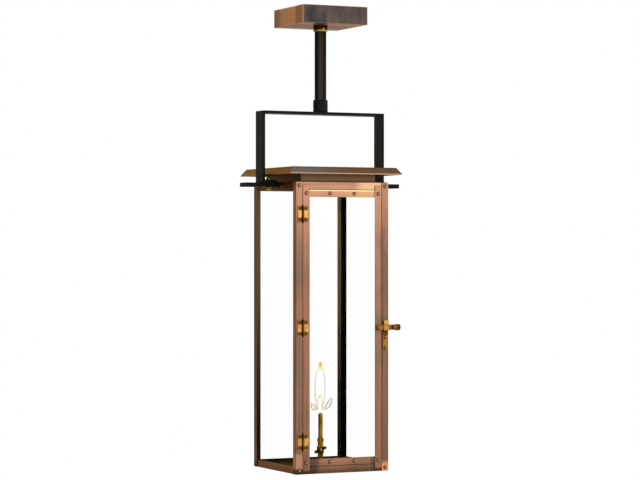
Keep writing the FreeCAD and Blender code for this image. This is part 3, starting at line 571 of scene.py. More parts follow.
@dataclass(frozen=True)
class YellowBrass(Finish):
    """Lacquered brass that has gone dark in its joints and under its screws."""

    clouds: Texture = Texture((110.0, 110.0, 60.0))
    scratches: Texture = Texture((1200.0, 1200.0, 140.0))
    stains: Texture = Texture((260.0, 260.0, 260.0), 4.0, 0.65)
    bright: Colour = tone(222, 166, 88)
    deep: Colour = tone(162, 110, 42)
    tarnish_and_shade: Colour = tone(52, 33, 10)
    sheen: Colour = tone(230, 190, 110)
    soil: float = 0.95
    stained: Span = (0.52, 0.74)
    joint_reach: float = 0.0045
    scratch_depth: float = 0.00003
    ease: float = 0.0005

    def paint(self, shader: Shader) -> bpy.types.Material:
        """Lay casting tones, darkened joints and bright edges over each other.

        Args:
            shader: The shader that takes the nodes.

        Returns:
            The finished material.
        """
        cloud = shader.noise(self.clouds)
        scratch = shader.noise(self.scratches)
        base = shader.blend(cloud.ramp(0.34, 0.66), self.deep, self.bright)
        stain = shader.noise(self.stains).ramp(*self.stained)
        base = self.banded(shader, shader.blend(stain * 0.6, base, self.tarnish_and_shade))
        joint = shader.crevice(self.joint_reach)
        base = shader.blend(joint * self.soil, base, self.tarnish_and_shade)
        eased = shader.eased(self.ease)
        return shader.surface({
            "Base Color": shader.blend(shader.edge(eased) * 0.4, base, self.bright),
            "Metallic": 1.0,
            "Roughness": 0.22 + 0.14 * scratch + 0.12 * cloud + 0.2 * joint,
            "Specular Tint": self.sheen,
            "Normal": shader.bump(scratch, self.scratch_depth, eased),
        })


@dataclass(frozen=True)
class ScrewBronze(Finish):
    """Dark bronze of the domed screws, with a painted highlight on top of each head."""

    specks: Texture = Texture((800.0, 800.0, 800.0))
    # Colour of the painted highlight on top of each head.
    crown_highlight: Colour = tone(236, 196, 156)
    bronze: Colour = tone(132, 94, 66)
    # Ring colour: painted shade round each head, and dark joints.
    tarnish_and_shade: Colour = tone(34, 23, 15)
    joint_reach: float = 0.0026

    def paint(self, shader: Shader) -> bpy.types.Material:
        """Lay a painted highlight on top and painted shade in a ring round the foot of each head
        over the bronze.

        Args:
            shader: The shader that takes the nodes.

        Returns:
            The finished material.
        """
        speck = shader.noise(self.specks)
        across, along, up = (abs(shader.toward(axis)) for axis in "XYZ")
        # Painted highlight where the dome looks straight along an axis, painted shade on the rest.
        crown_highlight = across.most(along).most(up).ramp(0.78, 0.98)
        base = shader.blend((0.53 + speck.sway(0.9)) * crown_highlight, self.bronze, self.crown_highlight)
        # Painted shade round the dome's lower part.
        base = shader.blend((1.0 - crown_highlight) * 0.8, base, self.tarnish_and_shade)
        joint = shader.crevice(self.joint_reach)
        return shader.surface({
            "Base Color": shader.blend(joint.ramp(0.05, 0.5), base, self.tarnish_and_shade),
            "Metallic": 1.0,
            "Roughness": 0.20 + 0.16 * speck + 0.25 * joint,
        })


@dataclass(frozen=True)
class PlatedSteel(Finish):
    """Zinc-plated steel with a fine crystal pattern."""

    pale: Colour = tone(186, 188, 190)
    grey: Colour = tone(166, 169, 172)
    crystals: Point = (160.0, 160.0, 160.0)
    joint_reach: float = 0.005
    crystal_depth: float = 0.00004
    ease: float = 0.0006

    def paint(self, shader: Shader) -> bpy.types.Material:
        """Lay zinc crystals and dull joints over the steel.

        Args:
            shader: The shader that takes the nodes.

        Returns:
            The finished material.
        """
        sockets = {"Vector": shader.stretched(self.crystals), "Scale": 1.0}
        crystal = shader.add("ShaderNodeTexVoronoi", {}, sockets)
        base = shader.blend(crystal.ramp(0.1, 0.8), self.pale, self.grey)
        joint = shader.crevice(self.joint_reach)
        return shader.surface({
            "Base Color": shader.blend(joint * 0.6, base, self.grey),
            "Metallic": 1.0,
            "Roughness": 0.30 + 0.18 * crystal + 0.1 * joint,
            "Normal": shader.bump(crystal, self.crystal_depth, shader.eased(self.ease)),
        })


@dataclass(frozen=True)
class ClearGlass(Finish):
    """Clear float glass that shows a little at a glancing angle."""

    tint: Colour = (0.05, 0.065, 0.06, 1.0)
    waves: Texture = Texture((7.0, 7.0, 5.0), 2.0, 0.4)
    refraction: float = 1.5

    def paint(self, shader: Shader) -> bpy.types.Material:
        """Keep the sheet nearly invisible, with a faint waviness and a faint glance.

        Args:
            shader: The shader that takes the nodes.

        Returns:
            The finished material.
        """
        wave = shader.noise(self.waves)
        glance = shader.add("ShaderNodeLayerWeight", {}, {"Blend": 0.12}, outlet="Fresnel")
        return shader.surface({
            "Base Color": self.tint,
            "Roughness": 0.02 + 0.02 * wave,
            "Alpha": 0.0002 + 0.015 * glance + 0.0003 * wave,
            "IOR": self.refraction,
        })


@dataclass(frozen=True)
class GasFlame(Finish):
    """Open gas flame, clear in its middle and yellow to orange along its skin and at its tip."""

    skin: Colour = tone(214, 178, 122)
    lee: Colour = tone(208, 198, 202)
    glow: Colour = tone(252, 228, 112)
    tip: Colour = tone(226, 122, 62)
    glow_rise: Span = (0.35, 0.72)
    fill_rise: Span = (0.05, 0.75)
    top: Span = (-0.829, -0.803)
    lee_x: Span = (0.002, 0.009)
    line_start: float = 0.30
    line_width: float = 0.45
    fill: float = 0.75

    def paint(self, shader: Shader) -> bpy.types.Material:
        """Draw the flame's skin as a thin line and fill only its top with colour.

        Args:
            shader: The shader that takes the nodes.

        Returns:
            The finished material.
        """
        rise = shader.at("Z").ramp(*self.top)
        low, high = self.glow_rise
        stops = [(0.0, self.skin), (low, self.glow), (high, self.glow), (1.0, self.tip)]
        colour = shader.add("ShaderNodeValToRGB", {"stops": stops}, {0: rise})
        calm = shader.at("X").ramp(*self.lee_x) * (1.0 - rise)
        rim = shader.add("ShaderNodeLayerWeight", {}, {"Blend": 0.5}, outlet="Facing")
        line = rim.ramp(self.line_start, self.line_start + self.line_width)
        return shader.surface({
            "Base Color": BLACK,
            "Specular IOR Level": 0.0,
            "Emission Color": shader.blend(calm, colour, self.lee),
            "Emission Strength": 1.0,
            "Alpha": line + self.fill * rise.ramp(*self.fill_rise),
        })


@dataclass(frozen=True)
class StagePaint(Finish):
    """Plain matt colour of the floor and of the card that the metal mirrors."""

    colour: Colour = (0.86, 0.86, 0.85, 1.0)

    def paint(self, shader: Shader) -> bpy.types.Material:
        """Fill the shader with one matt colour."""
        sockets = {"Base Color": self.colour, "Roughness": 0.9, "Specular IOR Level": 0.1}
        return shader.surface(sockets)


ROOF_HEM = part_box("roof")[0][2]
LINTEL_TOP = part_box("door_rail_top")[1][2]
COLLAR_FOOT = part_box("canopy_collar")[0][2]
CASE_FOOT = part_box("post_front_right")[0][2]
CANOPY_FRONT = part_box("canopy")[0][1]
CANOPY_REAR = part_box("canopy")[1][1]
KNOB_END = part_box("latch_arm")[1][0]
KEEPER_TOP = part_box("latch_keeper")[1][2]
KEEPER_BEND = -0.7335
RAIL_END_X = 0.083
HINGE_LEVELS = (-0.9725, -0.7205, -0.4685)
HINGE_SCREW_RISE = 0.01265
HINGE_LEAF_END = HINGE_SCREW_RISE + 0.0070
HINGE_PIN_X = -0.0977

COPPER_POST = AgedCopper(
    "aged_copper_post",
    (Band("Z", CASE_FOOT, 0.016, tone(50, 36, 24), 0.85),),
    rosy=0.46, blush=0.7,
)
COPPER_RIGHT = AgedCopper(
    "aged_copper_right",
    (Band("Z", CASE_FOOT, 0.026, tone(252, 164, 126), 0.9),),
    highlight_and_blush=tone(210, 152, 122), rose=tone(152, 113, 92),
    brown=tone(128, 101, 82), umber=tone(84, 65, 50),
)
COPPER_STILE = AgedCopper("aged_copper_stile", umber=tone(104, 80, 60), rosy=0.28)
COPPER_CROSSWISE = AgedCopper("aged_copper_crosswise", grain=Grain.CROSSWISE, rosy=0.32)
COPPER_HEADER = replace(
    COPPER_CROSSWISE, name="aged_copper_header",
    # Painted highlight towards the right end of the rail.
    bands=(Band("X", 0.085, 0.060, tone(255, 214, 164), 0.5),),
)
COPPER_LEDGE = replace(
    COPPER_CROSSWISE, name="aged_copper_ledge",
    bands=(
        Band("X", -RAIL_END_X, 0.034, tone(60, 50, 42), 0.72),
        Band("X", RAIL_END_X, 0.018, tone(60, 54, 42), 0.55),
    ),
    rose=tone(198, 140, 114), brown=tone(168, 130, 106),
)
COPPER_SILL = replace(
    COPPER_CROSSWISE, name="aged_copper_sill",
    bands=(
        Band("X", -RAIL_END_X, 0.030, tone(40, 24, 20), 0.6),
        Band("X", 0.0865, 0.020, tone(50, 36, 30), 0.45),
    ),
    rose=tone(168, 117, 90), brown=tone(138, 105, 81),
)
COPPER_LINTEL = AgedCopper(
    "aged_copper_lintel",
    # Painted highlights: a golden glow towards the right and a bright line along the top edge.
    (
        Band("X", 0.075, 0.075, tone(246, 200, 122), 0.3),
        Band("Z", LINTEL_TOP, 0.0036, tone(255, 236, 176), 0.9),
    ),
    grain=Grain.CROSSWISE,
)
# Side rails: darker copper that is painted shade on the sides.
COPPER_SIDE_SHADED = AgedCopper(
    "aged_copper_side_shaded",
    (Band("Z", CASE_FOOT, 0.060, tone(212, 160, 122), 0.2),),
    grain=Grain.DEEP, highlight_and_blush=tone(124, 87, 64), rose=tone(144, 106, 80),
    brown=tone(138, 102, 76), umber=tone(118, 88, 66), bright_edge=tone(150, 110, 76),
    sheen=tone(238, 222, 200),
)
COPPER_CANOPY = AgedCopper(
    "aged_copper_canopy",
    (
        Band("Y", CANOPY_FRONT + 0.026, 0.023, tone(160, 134, 108), 0.75),
        Band("Y", CANOPY_REAR, 0.040, tone(150, 134, 124), 0.75),
    ),
    # Painted reflections: grey faces front and back and a rose-brown underside.
    grain=Grain.LEVEL, highlight_and_blush=tone(232, 186, 150), rose=tone(230, 184, 148),
    brown=tone(220, 174, 140), reflected_grey=tone(56, 55, 60), painted_reflection=tone(62, 61, 65),
    rear=tone(204, 166, 134), underside_reflection=tone(112, 72, 48), sheen=tone(222, 198, 182),
    bright_edge=tone(250, 184, 140),
    # Strong edge brightening stands partly for the highlight along the corners: painted highlight.
    reflection_share=1.0, brushing=0.14, edge_brightening=1.6, ease=0.0028,
)
COPPER_ROOF = AgedCopper(
    "aged_copper_roof",
    (
        Band("Z", ROOF_HEM + 0.024, 0.015, tone(60, 44, 30), 0.4),
        # Painted highlight along the hem.
        Band("Z", ROOF_HEM, 0.0036, tone(206, 164, 128), 0.7),
    ),
    # Painted reflections on faces that look front, back and down, and a painted highlight on faces
    # that look up.
    grain=Grain.LEVEL, highlight_and_blush=tone(122, 92, 66), rose=tone(119, 89, 63),
    brown=tone(108, 82, 58), reflected_grey=tone(108, 80, 61), painted_reflection=tone(112, 104, 102),
    rear=tone(108, 82, 62), underside_reflection=tone(84, 60, 36), crown_highlight=tone(220, 162, 128),
    sheen=tone(236, 208, 168),
    reflection_share=0.95, brushing=0.24, edge_brightening=0.6, ease=0.0012,
)
COPPER_NECK = AgedCopper(
    "aged_copper_neck",
    grain=Grain.LEVEL, highlight_and_blush=tone(112, 78, 40), rose=tone(108, 74, 36), brown=tone(96, 68, 34),
    # Painted reflection greys on faces that look front and back.
    reflected_grey=tone(114, 90, 68), painted_reflection=tone(120, 98, 78), rear=tone(96, 68, 36),
    reflection_share=0.95, brushing=0.2, edge_brightening=0.5,
)
COPPER_TRAY = AgedCopper(
    "aged_copper_tray",
    grain=Grain.CROSSWISE, highlight_and_blush=tone(124, 100, 14), rose=tone(66, 46, 24),
    brown=tone(52, 38, 22), umber=tone(44, 32, 18), dark=tone(28, 20, 12), rear=tone(30, 20, 11),
    inside_high=tone(60, 44, 28), inside_low=tone(30, 22, 13), blush=0.5, metal=False,
)
IRON_BAR = BlackIron("black_iron_bar")
# Black pipe with a painted highlight down its front.
IRON_PIPE = BlackIron(
    "black_iron_pipe",
    grain=Grain.ROUND, black=tone(23, 20, 16), scuff_and_highlight=tone(78, 66, 57), shine=0.08, painted_reflection=0.75,
)
BRASS = YellowBrass("yellow_brass", bright=tone(244, 206, 104), deep=tone(206, 168, 70), soil=0.5)
HINGE_BRASS = YellowBrass(
    "hinge_brass",
    tuple(
        Band("Z", level + sign * rise, reach, colour, 0.75)
        for rise, reach, colour in (
            (HINGE_LEAF_END, 0.0050, tone(182, 124, 90)),
            (HINGE_SCREW_RISE, 0.0062, tone(84, 56, 24)),
        )
        for level in HINGE_LEVELS for sign in SIGNS
    ) + (
        # Painted highlight on the right of the knuckle, painted shade on its left.
        Band("X", HINGE_PIN_X + 0.0018, 0.0022, tone(176, 140, 72), 0.6),
        Band("X", HINGE_PIN_X - 0.0016, 0.0026, tone(48, 28, 4), 0.85),
    ),
    bright=tone(255, 188, 104), deep=tone(206, 146, 66),
)
LATCH_BRASS = YellowBrass(
    "latch_brass",
    (
        Band("X", KNOB_END - 0.022, 0.014, tone(150, 106, 50), 0.7),
        Band("X", KNOB_END, 0.013, tone(58, 36, 8), 0.85),
    ),
    bright=tone(186, 134, 68), deep=tone(136, 94, 40),
)
KEEPER_BRASS = YellowBrass(
    "keeper_brass",
    (
        Band("Z", KEEPER_TOP - 0.019, 0.010, tone(210, 148, 78), 0.8),
        # Painted shadow under the latch arm, at the keeper's bend.
        Band("Z", KEEPER_BEND, 0.007, tone(68, 48, 6), 0.9),
        Band("Z", KEEPER_TOP, 0.011, tone(222, 176, 86), 0.8),
    ),
    bright=tone(178, 128, 58), deep=tone(134, 92, 36),
)
BURNER_BRASS = YellowBrass(
    "dull_burner_brass", bright=tone(178, 132, 30), deep=tone(126, 94, 14),
    tarnish_and_shade=tone(44, 33, 4), sheen=tone(190, 150, 60), soil=0.85,
)
# Darker brass for the key: painted shade, as the key lies in shadow.
KEY_BRASS = YellowBrass(
    "key_brass", bright=tone(92, 74, 18), deep=tone(50, 40, 10),
    tarnish_and_shade=tone(20, 16, 4), sheen=tone(110, 92, 30),
)
COLLAR_BRASS = YellowBrass(
    "collar_brass",
    (Band("Z", COLLAR_FOOT + 0.001, 0.004, tone(206, 184, 92), 0.8),),
    bright=tone(92, 70, 28), deep=tone(44, 31, 12), tarnish_and_shade=tone(18, 12, 5),
)
SCREW_BRONZE = ScrewBronze("screw_bronze")
SCREW_BRASS, SCREW_HINGE, SCREW_KEY = (
    ScrewBronze(name, crown_highlight=tone(*crown_highlight), bronze=tone(*bronze), tarnish_and_shade=tone(*tarnish_and_shade))
    for name, crown_highlight, bronze, tarnish_and_shade in (
        ("screw_brass", (226, 176, 96), (150, 104, 44), (44, 28, 10)),
        ("screw_hinge", (170, 118, 80), (62, 38, 20), (24, 13, 6)),
        ("screw_key", (224, 212, 120), (178, 156, 62), (70, 56, 14)),
    )
)
STEEL = PlatedSteel("zinc_plate")
GLASS = ClearGlass("clear_glass")
FLAME = GasFlame("gas_flame")
FLAME_CORE = GasFlame(
    "gas_flame_core", skin=tone(236, 192, 96), lee=tone(236, 200, 112), tip=tone(232, 178, 84),
    top=(-0.888, -0.8765), line_start=0.15,
)
FLAME_TONGUE = GasFlame(
    "gas_flame_tongue", skin=tone(196, 156, 98), lee=tone(150, 142, 118), line_start=0.0,
)
FLOOR_PAINT = StagePaint("pale_floor")
CARD_PAINT = StagePaint("dark_card", colour=(0.40, 0.265, 0.115, 1.0))


def dress(names: Iterable[str], finish: Finish) -> None:
    """Give CAD nodes a finish.

    Args:
        names: The nodes' names.
        finish: The finish that they take.
    """
    for name in names:
        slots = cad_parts[name].data.materials
        slots.clear()
        slots.append(finish.material())
        LOG.info("dressed %s in %s", name, finish.name)


def new_piece(name: str, mesh: bpy.types.Mesh, body: str) -> bpy.types.Object:
    """Put a finished mesh into the scene and let it ride on a body.

    Args:
        name: The piece's name.
        mesh: Its mesh, in the lantern's own frame.
        body: The body that carries it.

    Returns:
        The new object.
    """
    piece = bpy.data.objects.new(name, mesh)
    bpy.context.scene.collection.objects.link(piece)
    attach(piece, body)
    LOG.info("built %s on %s with %d faces", name, body, len(mesh.polygons))
    return piece


class ScrewTree:
    """Geometry Nodes that stand a slotted dome-head screw on each point of a mesh."""

    NAME = "domed_screws"
    HEAD_SEGMENTS = 24
    HEAD_RINGS = 16
    SHANK_SIDES = 16
    SLOT_LENGTH = 3.0
    SMOOTH_ANGLE = 0.6
    INPUTS = {
        "Points": "Geometry", "Head Diameter": "Float", "Dome Height": "Float",
        "Shank Diameter": "Float", "Slot Width": "Float", "Slot Depth": "Float",
        "Seed": "Int", "Finish": "Material",
    }

    def __init__(self) -> None:
        """Start the tree with its named inputs and fill it."""
        self.tree = bpy.data.node_groups.new(self.NAME, "GeometryNodeTree")
        for name, kind in self.INPUTS.items():
            self.tree.interface.new_socket(name, in_out="INPUT", socket_type=f"NodeSocket{kind}")
        self.tree.interface.new_socket("Screws", in_out="OUTPUT", socket_type="NodeSocketGeometry")
        self.graph = Graph(self.tree)
        self.entry = self.graph.add("NodeGroupInput").socket.node
        self.fill()

    @classmethod
    def get(cls) -> bpy.types.NodeTree:
        """Return the tree, made once."""
        return bpy.data.node_groups.get(cls.NAME) or cls().tree

    def given(self, name: str) -> Signal:
        """Return one named input of the tree."""
        return Signal(self.graph, self.entry.outputs[name])

    def carried(self, name: str, kind: str) -> Signal:
        """Return a value that each point carries."""
        settings = {"data_type": kind}
        return self.graph.add("GeometryNodeInputNamedAttribute", settings, {"Name": name})

    def moved(self, shape: Signal, rise: float) -> Signal:
        """Return a shape that is moved upwards."""
        sockets = {"Geometry": shape, "Translation": (0.0, 0.0, rise)}
        return self.graph.add("GeometryNodeTransform", {}, sockets)

    def head(self) -> Signal:
        """Make a slotted dome of radius and height 1.

        Returns:
            The dome's shape.
        """
        add, vector, axis = self.graph.add, self.graph.vector, self.graph.axis
        sockets = {"Segments": self.HEAD_SEGMENTS, "Rings": self.HEAD_RINGS, "Radius": 1.0}
        ball = add("GeometryNodeMeshUVSphere", {}, sockets)
        spot = add("GeometryNodeInputPosition")
        lifted = vector(X=axis(spot, "X"), Y=axis(spot, "Y"), Z=axis(spot, "Z").most(0.0))
        dome = add("GeometryNodeSetPosition", {}, {"Geometry": ball, "Position": lifted})
        depth = self.given("Slot Depth") * 2.0
        size = vector(X=self.SLOT_LENGTH, Y=self.given("Slot Width"), Z=depth)
        bar = self.moved(add("GeometryNodeMeshCube", {}, {"Size": size}), 1.0)
        sockets = {"Mesh 1": dome, "Mesh 2": bar}
        dome = add("GeometryNodeMeshBoolean", {"operation": "DIFFERENCE"}, sockets)
        corner = add("GeometryNodeInputMeshEdgeAngle")
        soft = corner.math("LESS_THAN", corner, self.SMOOTH_ANGLE)
        sockets = {"Geometry": dome, "Shade Smooth": soft}
        return add("GeometryNodeSetShadeSmooth", {"domain": "EDGE"}, sockets)

    def turn(self) -> Signal:
        """Turn each screw towards its facing, with its slot at any angle.

        Returns:
            The rotation of each point.
        """
        add = self.graph.add
        facing = self.carried("facing", "FLOAT_VECTOR")
        turn = add("FunctionNodeAlignRotationToVector", {"axis": "Z"}, {"Vector": facing})
        chance = {2: 0.0, 3: math.tau, "Seed": self.given("Seed")}
        spin = add("FunctionNodeRandomValue", {"data_type": "FLOAT"}, chance, outlet=1)
        spin = add("FunctionNodeEulerToRotation", {}, {0: self.graph.vector(Z=spin)})
        return add("FunctionNodeRotateRotation", {"rotation_space": "LOCAL"}, {0: turn, 1: spin})

    def fill(self) -> None:
        """Stand a head and a shank on each point and give them the finish."""
        add, vector = self.graph.add, self.graph.vector
        sockets = {"Vertices": self.SHANK_SIDES, "Radius": 1.0, "Depth": 1.0}
        shank = self.moved(add("GeometryNodeMeshCylinder", {}, sockets), -0.5)
        wide = self.given("Head Diameter") * 0.5
        thick = self.given("Shank Diameter") * 0.5
        turn = self.turn()
        heads, shanks = (
            add("GeometryNodeInstanceOnPoints", {}, {
                "Points": self.given("Points"), "Instance": shape, "Rotation": turn, "Scale": size,
            })
            for shape, size in (
                (self.head(), vector(X=wide, Y=wide, Z=self.given("Dome Height"))),
                (shank, vector(X=thick, Y=thick, Z=self.carried("grip", "FLOAT"))),
            )
        )
        joined = add("GeometryNodeJoinGeometry", {}, {0: heads})
        self.tree.links.new(shanks.socket, joined.socket.node.inputs[0])
        real = add("GeometryNodeRealizeInstances", {}, {0: joined})
        sockets = {"Geometry": real, "Material": self.given("Finish")}
        add("NodeGroupOutput", {}, {0: add("GeometryNodeSetMaterial", {}, sockets)})


@dataclass
class ScrewSet:
    """Equal dome-head screws of one body, each with its place, its facing and its grip."""

    name: str
    body: str
    places: list[tuple[Point, Point, float]]
    finish: Finish = SCREW_BRONZE
    slot: str = "bronze_screws"
    head: float = 0.0090
    dome: float = 0.0030
    shank: float = 0.0035
    slot_width: float = 0.24
    slot_depth: float = 0.36
    seed: int = 7

    def points(self) -> bpy.types.Mesh:
        """Make a mesh of loose points that carry each screw's facing and grip.

        Returns:
            The mesh of points.
        """
        mesh = bpy.data.meshes.new(f"{self.name}_points")
        mesh.from_pydata([spot for spot, _, _ in self.places], [], [])
        facing = mesh.attributes.new("facing", "FLOAT_VECTOR", "POINT")
        facing.data.foreach_set("vector", [part for _, way, _ in self.places for part in way])
        grip = mesh.attributes.new("grip", "FLOAT", "POINT")
        grip.data.foreach_set("value", [length for _, _, length in self.places])
        return mesh

    def build(self) -> None:
        """Make the screws and let them stand for their CAD node."""
        points = self.points()
        carrier = bpy.data.objects.new(f"{self.name}_carrier", points)
        bpy.context.scene.collection.objects.link(carrier)
        modifier = carrier.modifiers.new("screws", "NODES")
        modifier.node_group = ScrewTree.get()
        values = {
            "Head Diameter": self.head, "Dome Height": self.dome, "Shank Diameter": self.shank,
            "Slot Width": self.slot_width, "Slot Depth": self.slot_depth, "Seed": self.seed,
            "Finish": self.finish.material(),
        }
        for item in modifier.node_group.interface.items_tree:
            if item.name in values:
                modifier[item.identifier] = values[item.name]
        depsgraph = bpy.context.evaluated_depsgraph_get()
        shown = carrier.evaluated_get(depsgraph)
        mesh = bpy.data.meshes.new_from_object(shown, depsgraph=depsgraph)
        bpy.data.objects.remove(carrier)
        bpy.data.meshes.remove(points)
        piece = new_piece(f"{self.name}_domed", mesh, self.body)
        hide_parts(self.name)


class Assembly:
    """A sub-assembly that makes pieces of its own and dresses its CAD nodes."""

    def build(self) -> None:
        """Make no piece where the CAD nodes show all."""

    def dress(self) -> None:
        """Dress no node where the assembly has none."""


@dataclass
class CeilingMount(Assembly):
    """Canopy, its collar and the strap inside it."""

    steel: Sequence[str] = ("mounting_strap", "strap_locknut")

    def dress(self) -> None:
        """Give the canopy aged copper, its collar dark brass and the hidden strap plated steel."""
        dress(["canopy"], COPPER_CANOPY)
        dress(["canopy_collar"], COLLAR_BRASS)
        dress(self.steel, STEEL)
        dress(["collar_screw"], SCREW_BRASS)


@dataclass
class Yoke(Assembly):
    """Stem, bent flat-bar yoke, crossbar and their bolts."""

    bar_under: float = -0.4065
    deck_screw_x: float = 0.068
    grip: float = 0.011

    def build(self) -> None:
        """Make the screws that hold the deck to the crossbar."""
        spots = [(sign * self.deck_screw_x, 0.0, self.bar_under) for sign in SIGNS]
        places = [(spot, DOWN, self.grip) for spot in spots]
        ScrewSet("deck_screws", "lantern", places, seed=3).build()

    def dress(self) -> None:
        """Paint the bars and the pipe black and leave the bolts brass."""
        dress(["yoke", "crossbar", "stem_coupling"], IRON_BAR)
        dress(["stem_pipe"], IRON_PIPE)
        dress(["yoke_bolts", "yoke_nuts"], BRASS)


@dataclass
class Head(Assembly):
    """Hipped roof, vented neck and deck."""

    def dress(self) -> None:
        """Give the head's sheets their patina."""
        dress(["roof"], COPPER_ROOF)
        dress(["neck"], COPPER_NECK)
        dress(["deck"], COPPER_TRAY)


@dataclass
class Case(Assembly):
    """Corner posts, rails, floor pan, panes and their screws."""

    half: float = 0.1143
    sheet: float = 0.0016
    post_screw_x: float = 0.10635
    post_levels: Sequence[float] = (-1.0358, -0.4052)
    rail_screw_offset: float = 0.038
    rail_level: float = -0.4055
    rail_grip: float = 0.0031

    def build(self) -> None:
        """Make the screws of the posts and of the top rails."""
        places = [
            ((sign * self.post_screw_x, way[1] * self.half, level), way, 2 * self.sheet)
            for sign in SIGNS for way in (FRONT, BACK) for level in self.post_levels
        ]
        ScrewSet("post_screws", "lantern", places, seed=11).build()
        face = self.half - self.sheet
        places = []
        for sign in SIGNS:
            offset = sign * self.rail_screw_offset
            for x, y, way in ((-face, offset, LEFT), (face, offset, RIGHT), (offset, face, BACK)):
                places.append(((x, y, self.rail_level), way, self.rail_grip))
        ScrewSet("rail_screws", "lantern", places, SCREW_BRASS, seed=5).build()

    def dress(self) -> None:
        """Brush each sheet along its length and glaze the sides."""
        dress(["post_front_left", "post_back_left", "post_back_right"], COPPER_POST)
        dress(["post_front_right"], COPPER_RIGHT)
        dress(["top_rail_back", "bottom_rail_back"], COPPER_CROSSWISE)
        dress(["bottom_rail_front"], COPPER_SILL)
        dress(["top_rail_front"], COPPER_HEADER)
        # The side rails take the darker copper that is painted shade.
        for level in ("top", "bottom"):
            dress([f"{level}_rail_left", f"{level}_rail_right"], COPPER_SIDE_SHADED)
        dress(["floor_pan", "glass_clips"], COPPER_TRAY)
        dress(["glass_left", "glass_right", "glass_back"], GLASS)


@dataclass
class Door(Assembly):
    """Glazed door with its stiles, rails, clips and screws."""

    face: float = -0.1146
    rail_face: float = -0.1130
    stile_screw_x: float = 0.08905
    between_x: float = 0.030
    levels: Sequence[float] = (-1.01875, -0.42225)
    stile_grip: float = 0.0032
    clip_grip: float = 0.0026

    def build(self) -> None:
        """Make the door's screws."""
        places = []
        for sign in SIGNS:
            for level in self.levels:
                for x, y, grip in (
                    (self.stile_screw_x, self.face, self.stile_grip),
                    (self.between_x, self.rail_face, self.clip_grip),
                ):
                    places.append(((sign * x, y, level), FRONT, grip))
        ScrewSet("door_screws", "door", places, seed=13).build()

    def dress(self) -> None:
        """Brush the stiles upwards and the rails across, and glaze the door."""
        dress(["door_stile_left", "door_stile_right"], COPPER_STILE)
        dress(["door_rail_top"], COPPER_LINTEL)
        dress(["door_rail_bottom"], COPPER_LEDGE)
        dress(["door_glass_clips"], COPPER_TRAY)
        dress(["door_glass"], GLASS)


@dataclass
class Hinges(Assembly):
    """Three brass butt hinges."""

    post_x: float = -0.1043
    door_x: float = -0.0911
    post_seat: float = -0.1155
    door_seat: float = -0.1158
    grip: float = 0.0028
    head: float = 0.0064
    dome: float = 0.0018
    shank: float = 0.0026

    def build(self) -> None:
        """Make the small screws of both leaves."""
        for name, body, x, seat in (
            ("hinge_post_screws", "lantern", self.post_x, self.post_seat),
            ("hinge_door_screws", "door", self.door_x, self.door_seat),
        ):
            places = [
                ((x, seat, level + sign * HINGE_SCREW_RISE), FRONT, self.grip)
                for level in HINGE_LEVELS for sign in SIGNS
            ]
            size = {"head": self.head, "dome": self.dome, "shank": self.shank}
            ScrewSet(name, body, places, SCREW_HINGE, seed=17, **size).build()

    def dress(self) -> None:
        """Leave leaves and pins in yellow brass."""
        for end in ("top", "middle", "bottom"):
            dress([f"hinge_post_leaf_{end}", f"hinge_door_leaf_{end}"], HINGE_BRASS)
        dress(["hinge_pins"], HINGE_BRASS)


@dataclass
class Latch(Assembly):
    """Lift latch on the door and its keeper on the post."""

    pivot: Point = (0.0885, -0.1195, -0.7215)
    pivot_grip: float = 0.0065
    pivot_head: float = 0.0095
    pivot_shank: float = 0.004
    keeper_x: float = 0.10635
    keeper_y: float = -0.1159
    keeper_levels: Sequence[float] = (-0.7670, -0.7430)
    keeper_grip: float = 0.0032

    def build(self) -> None:
        """Make the pivot screw and the keeper's screws."""
        places = [(self.pivot, FRONT, self.pivot_grip)]
        size = {"head": self.pivot_head, "shank": self.pivot_shank}
        ScrewSet("latch_screw", "door", places, SCREW_BRASS, "brass", seed=2, **size).build()
        spots = [(self.keeper_x, self.keeper_y, level) for level in self.keeper_levels]
        places = [(spot, FRONT, self.keeper_grip) for spot in spots]
        ScrewSet("keeper_screws", "lantern", places, SCREW_BRASS, seed=19).build()

    def dress(self) -> None:
        """Leave arm and keeper in yellow brass."""
        dress(["latch_arm"], LATCH_BRASS)
        dress(["latch_keeper"], KEEPER_BRASS)


@dataclass
class Burner(Assembly):
    """Plug valve with its wing key and the burner tube."""

    key_screw: Point = (-0.00501, -0.01046, -1.001)
    key_facing: Point = (-0.4321, -0.9018, 0.0)
    key_grip: float = 0.007
    key_dome: float = 0.0026
    key_shank: float = 0.0026

    def build(self) -> None:
        """Make the screw that holds the wing key."""
        places = [(self.key_screw, self.key_facing, self.key_grip)]
        size = {"dome": self.key_dome, "shank": self.key_shank}
        ScrewSet("valve_screw", "tap", places, SCREW_KEY, "burner_brass", seed=23, **size).build()

    def dress(self) -> None:
        """Give the valve and the tube their dull brass."""
        dress(["valve_body", "valve_nut", "burner_tube"], BURNER_BRASS)
        dress(["valve_key"], KEY_BRASS)


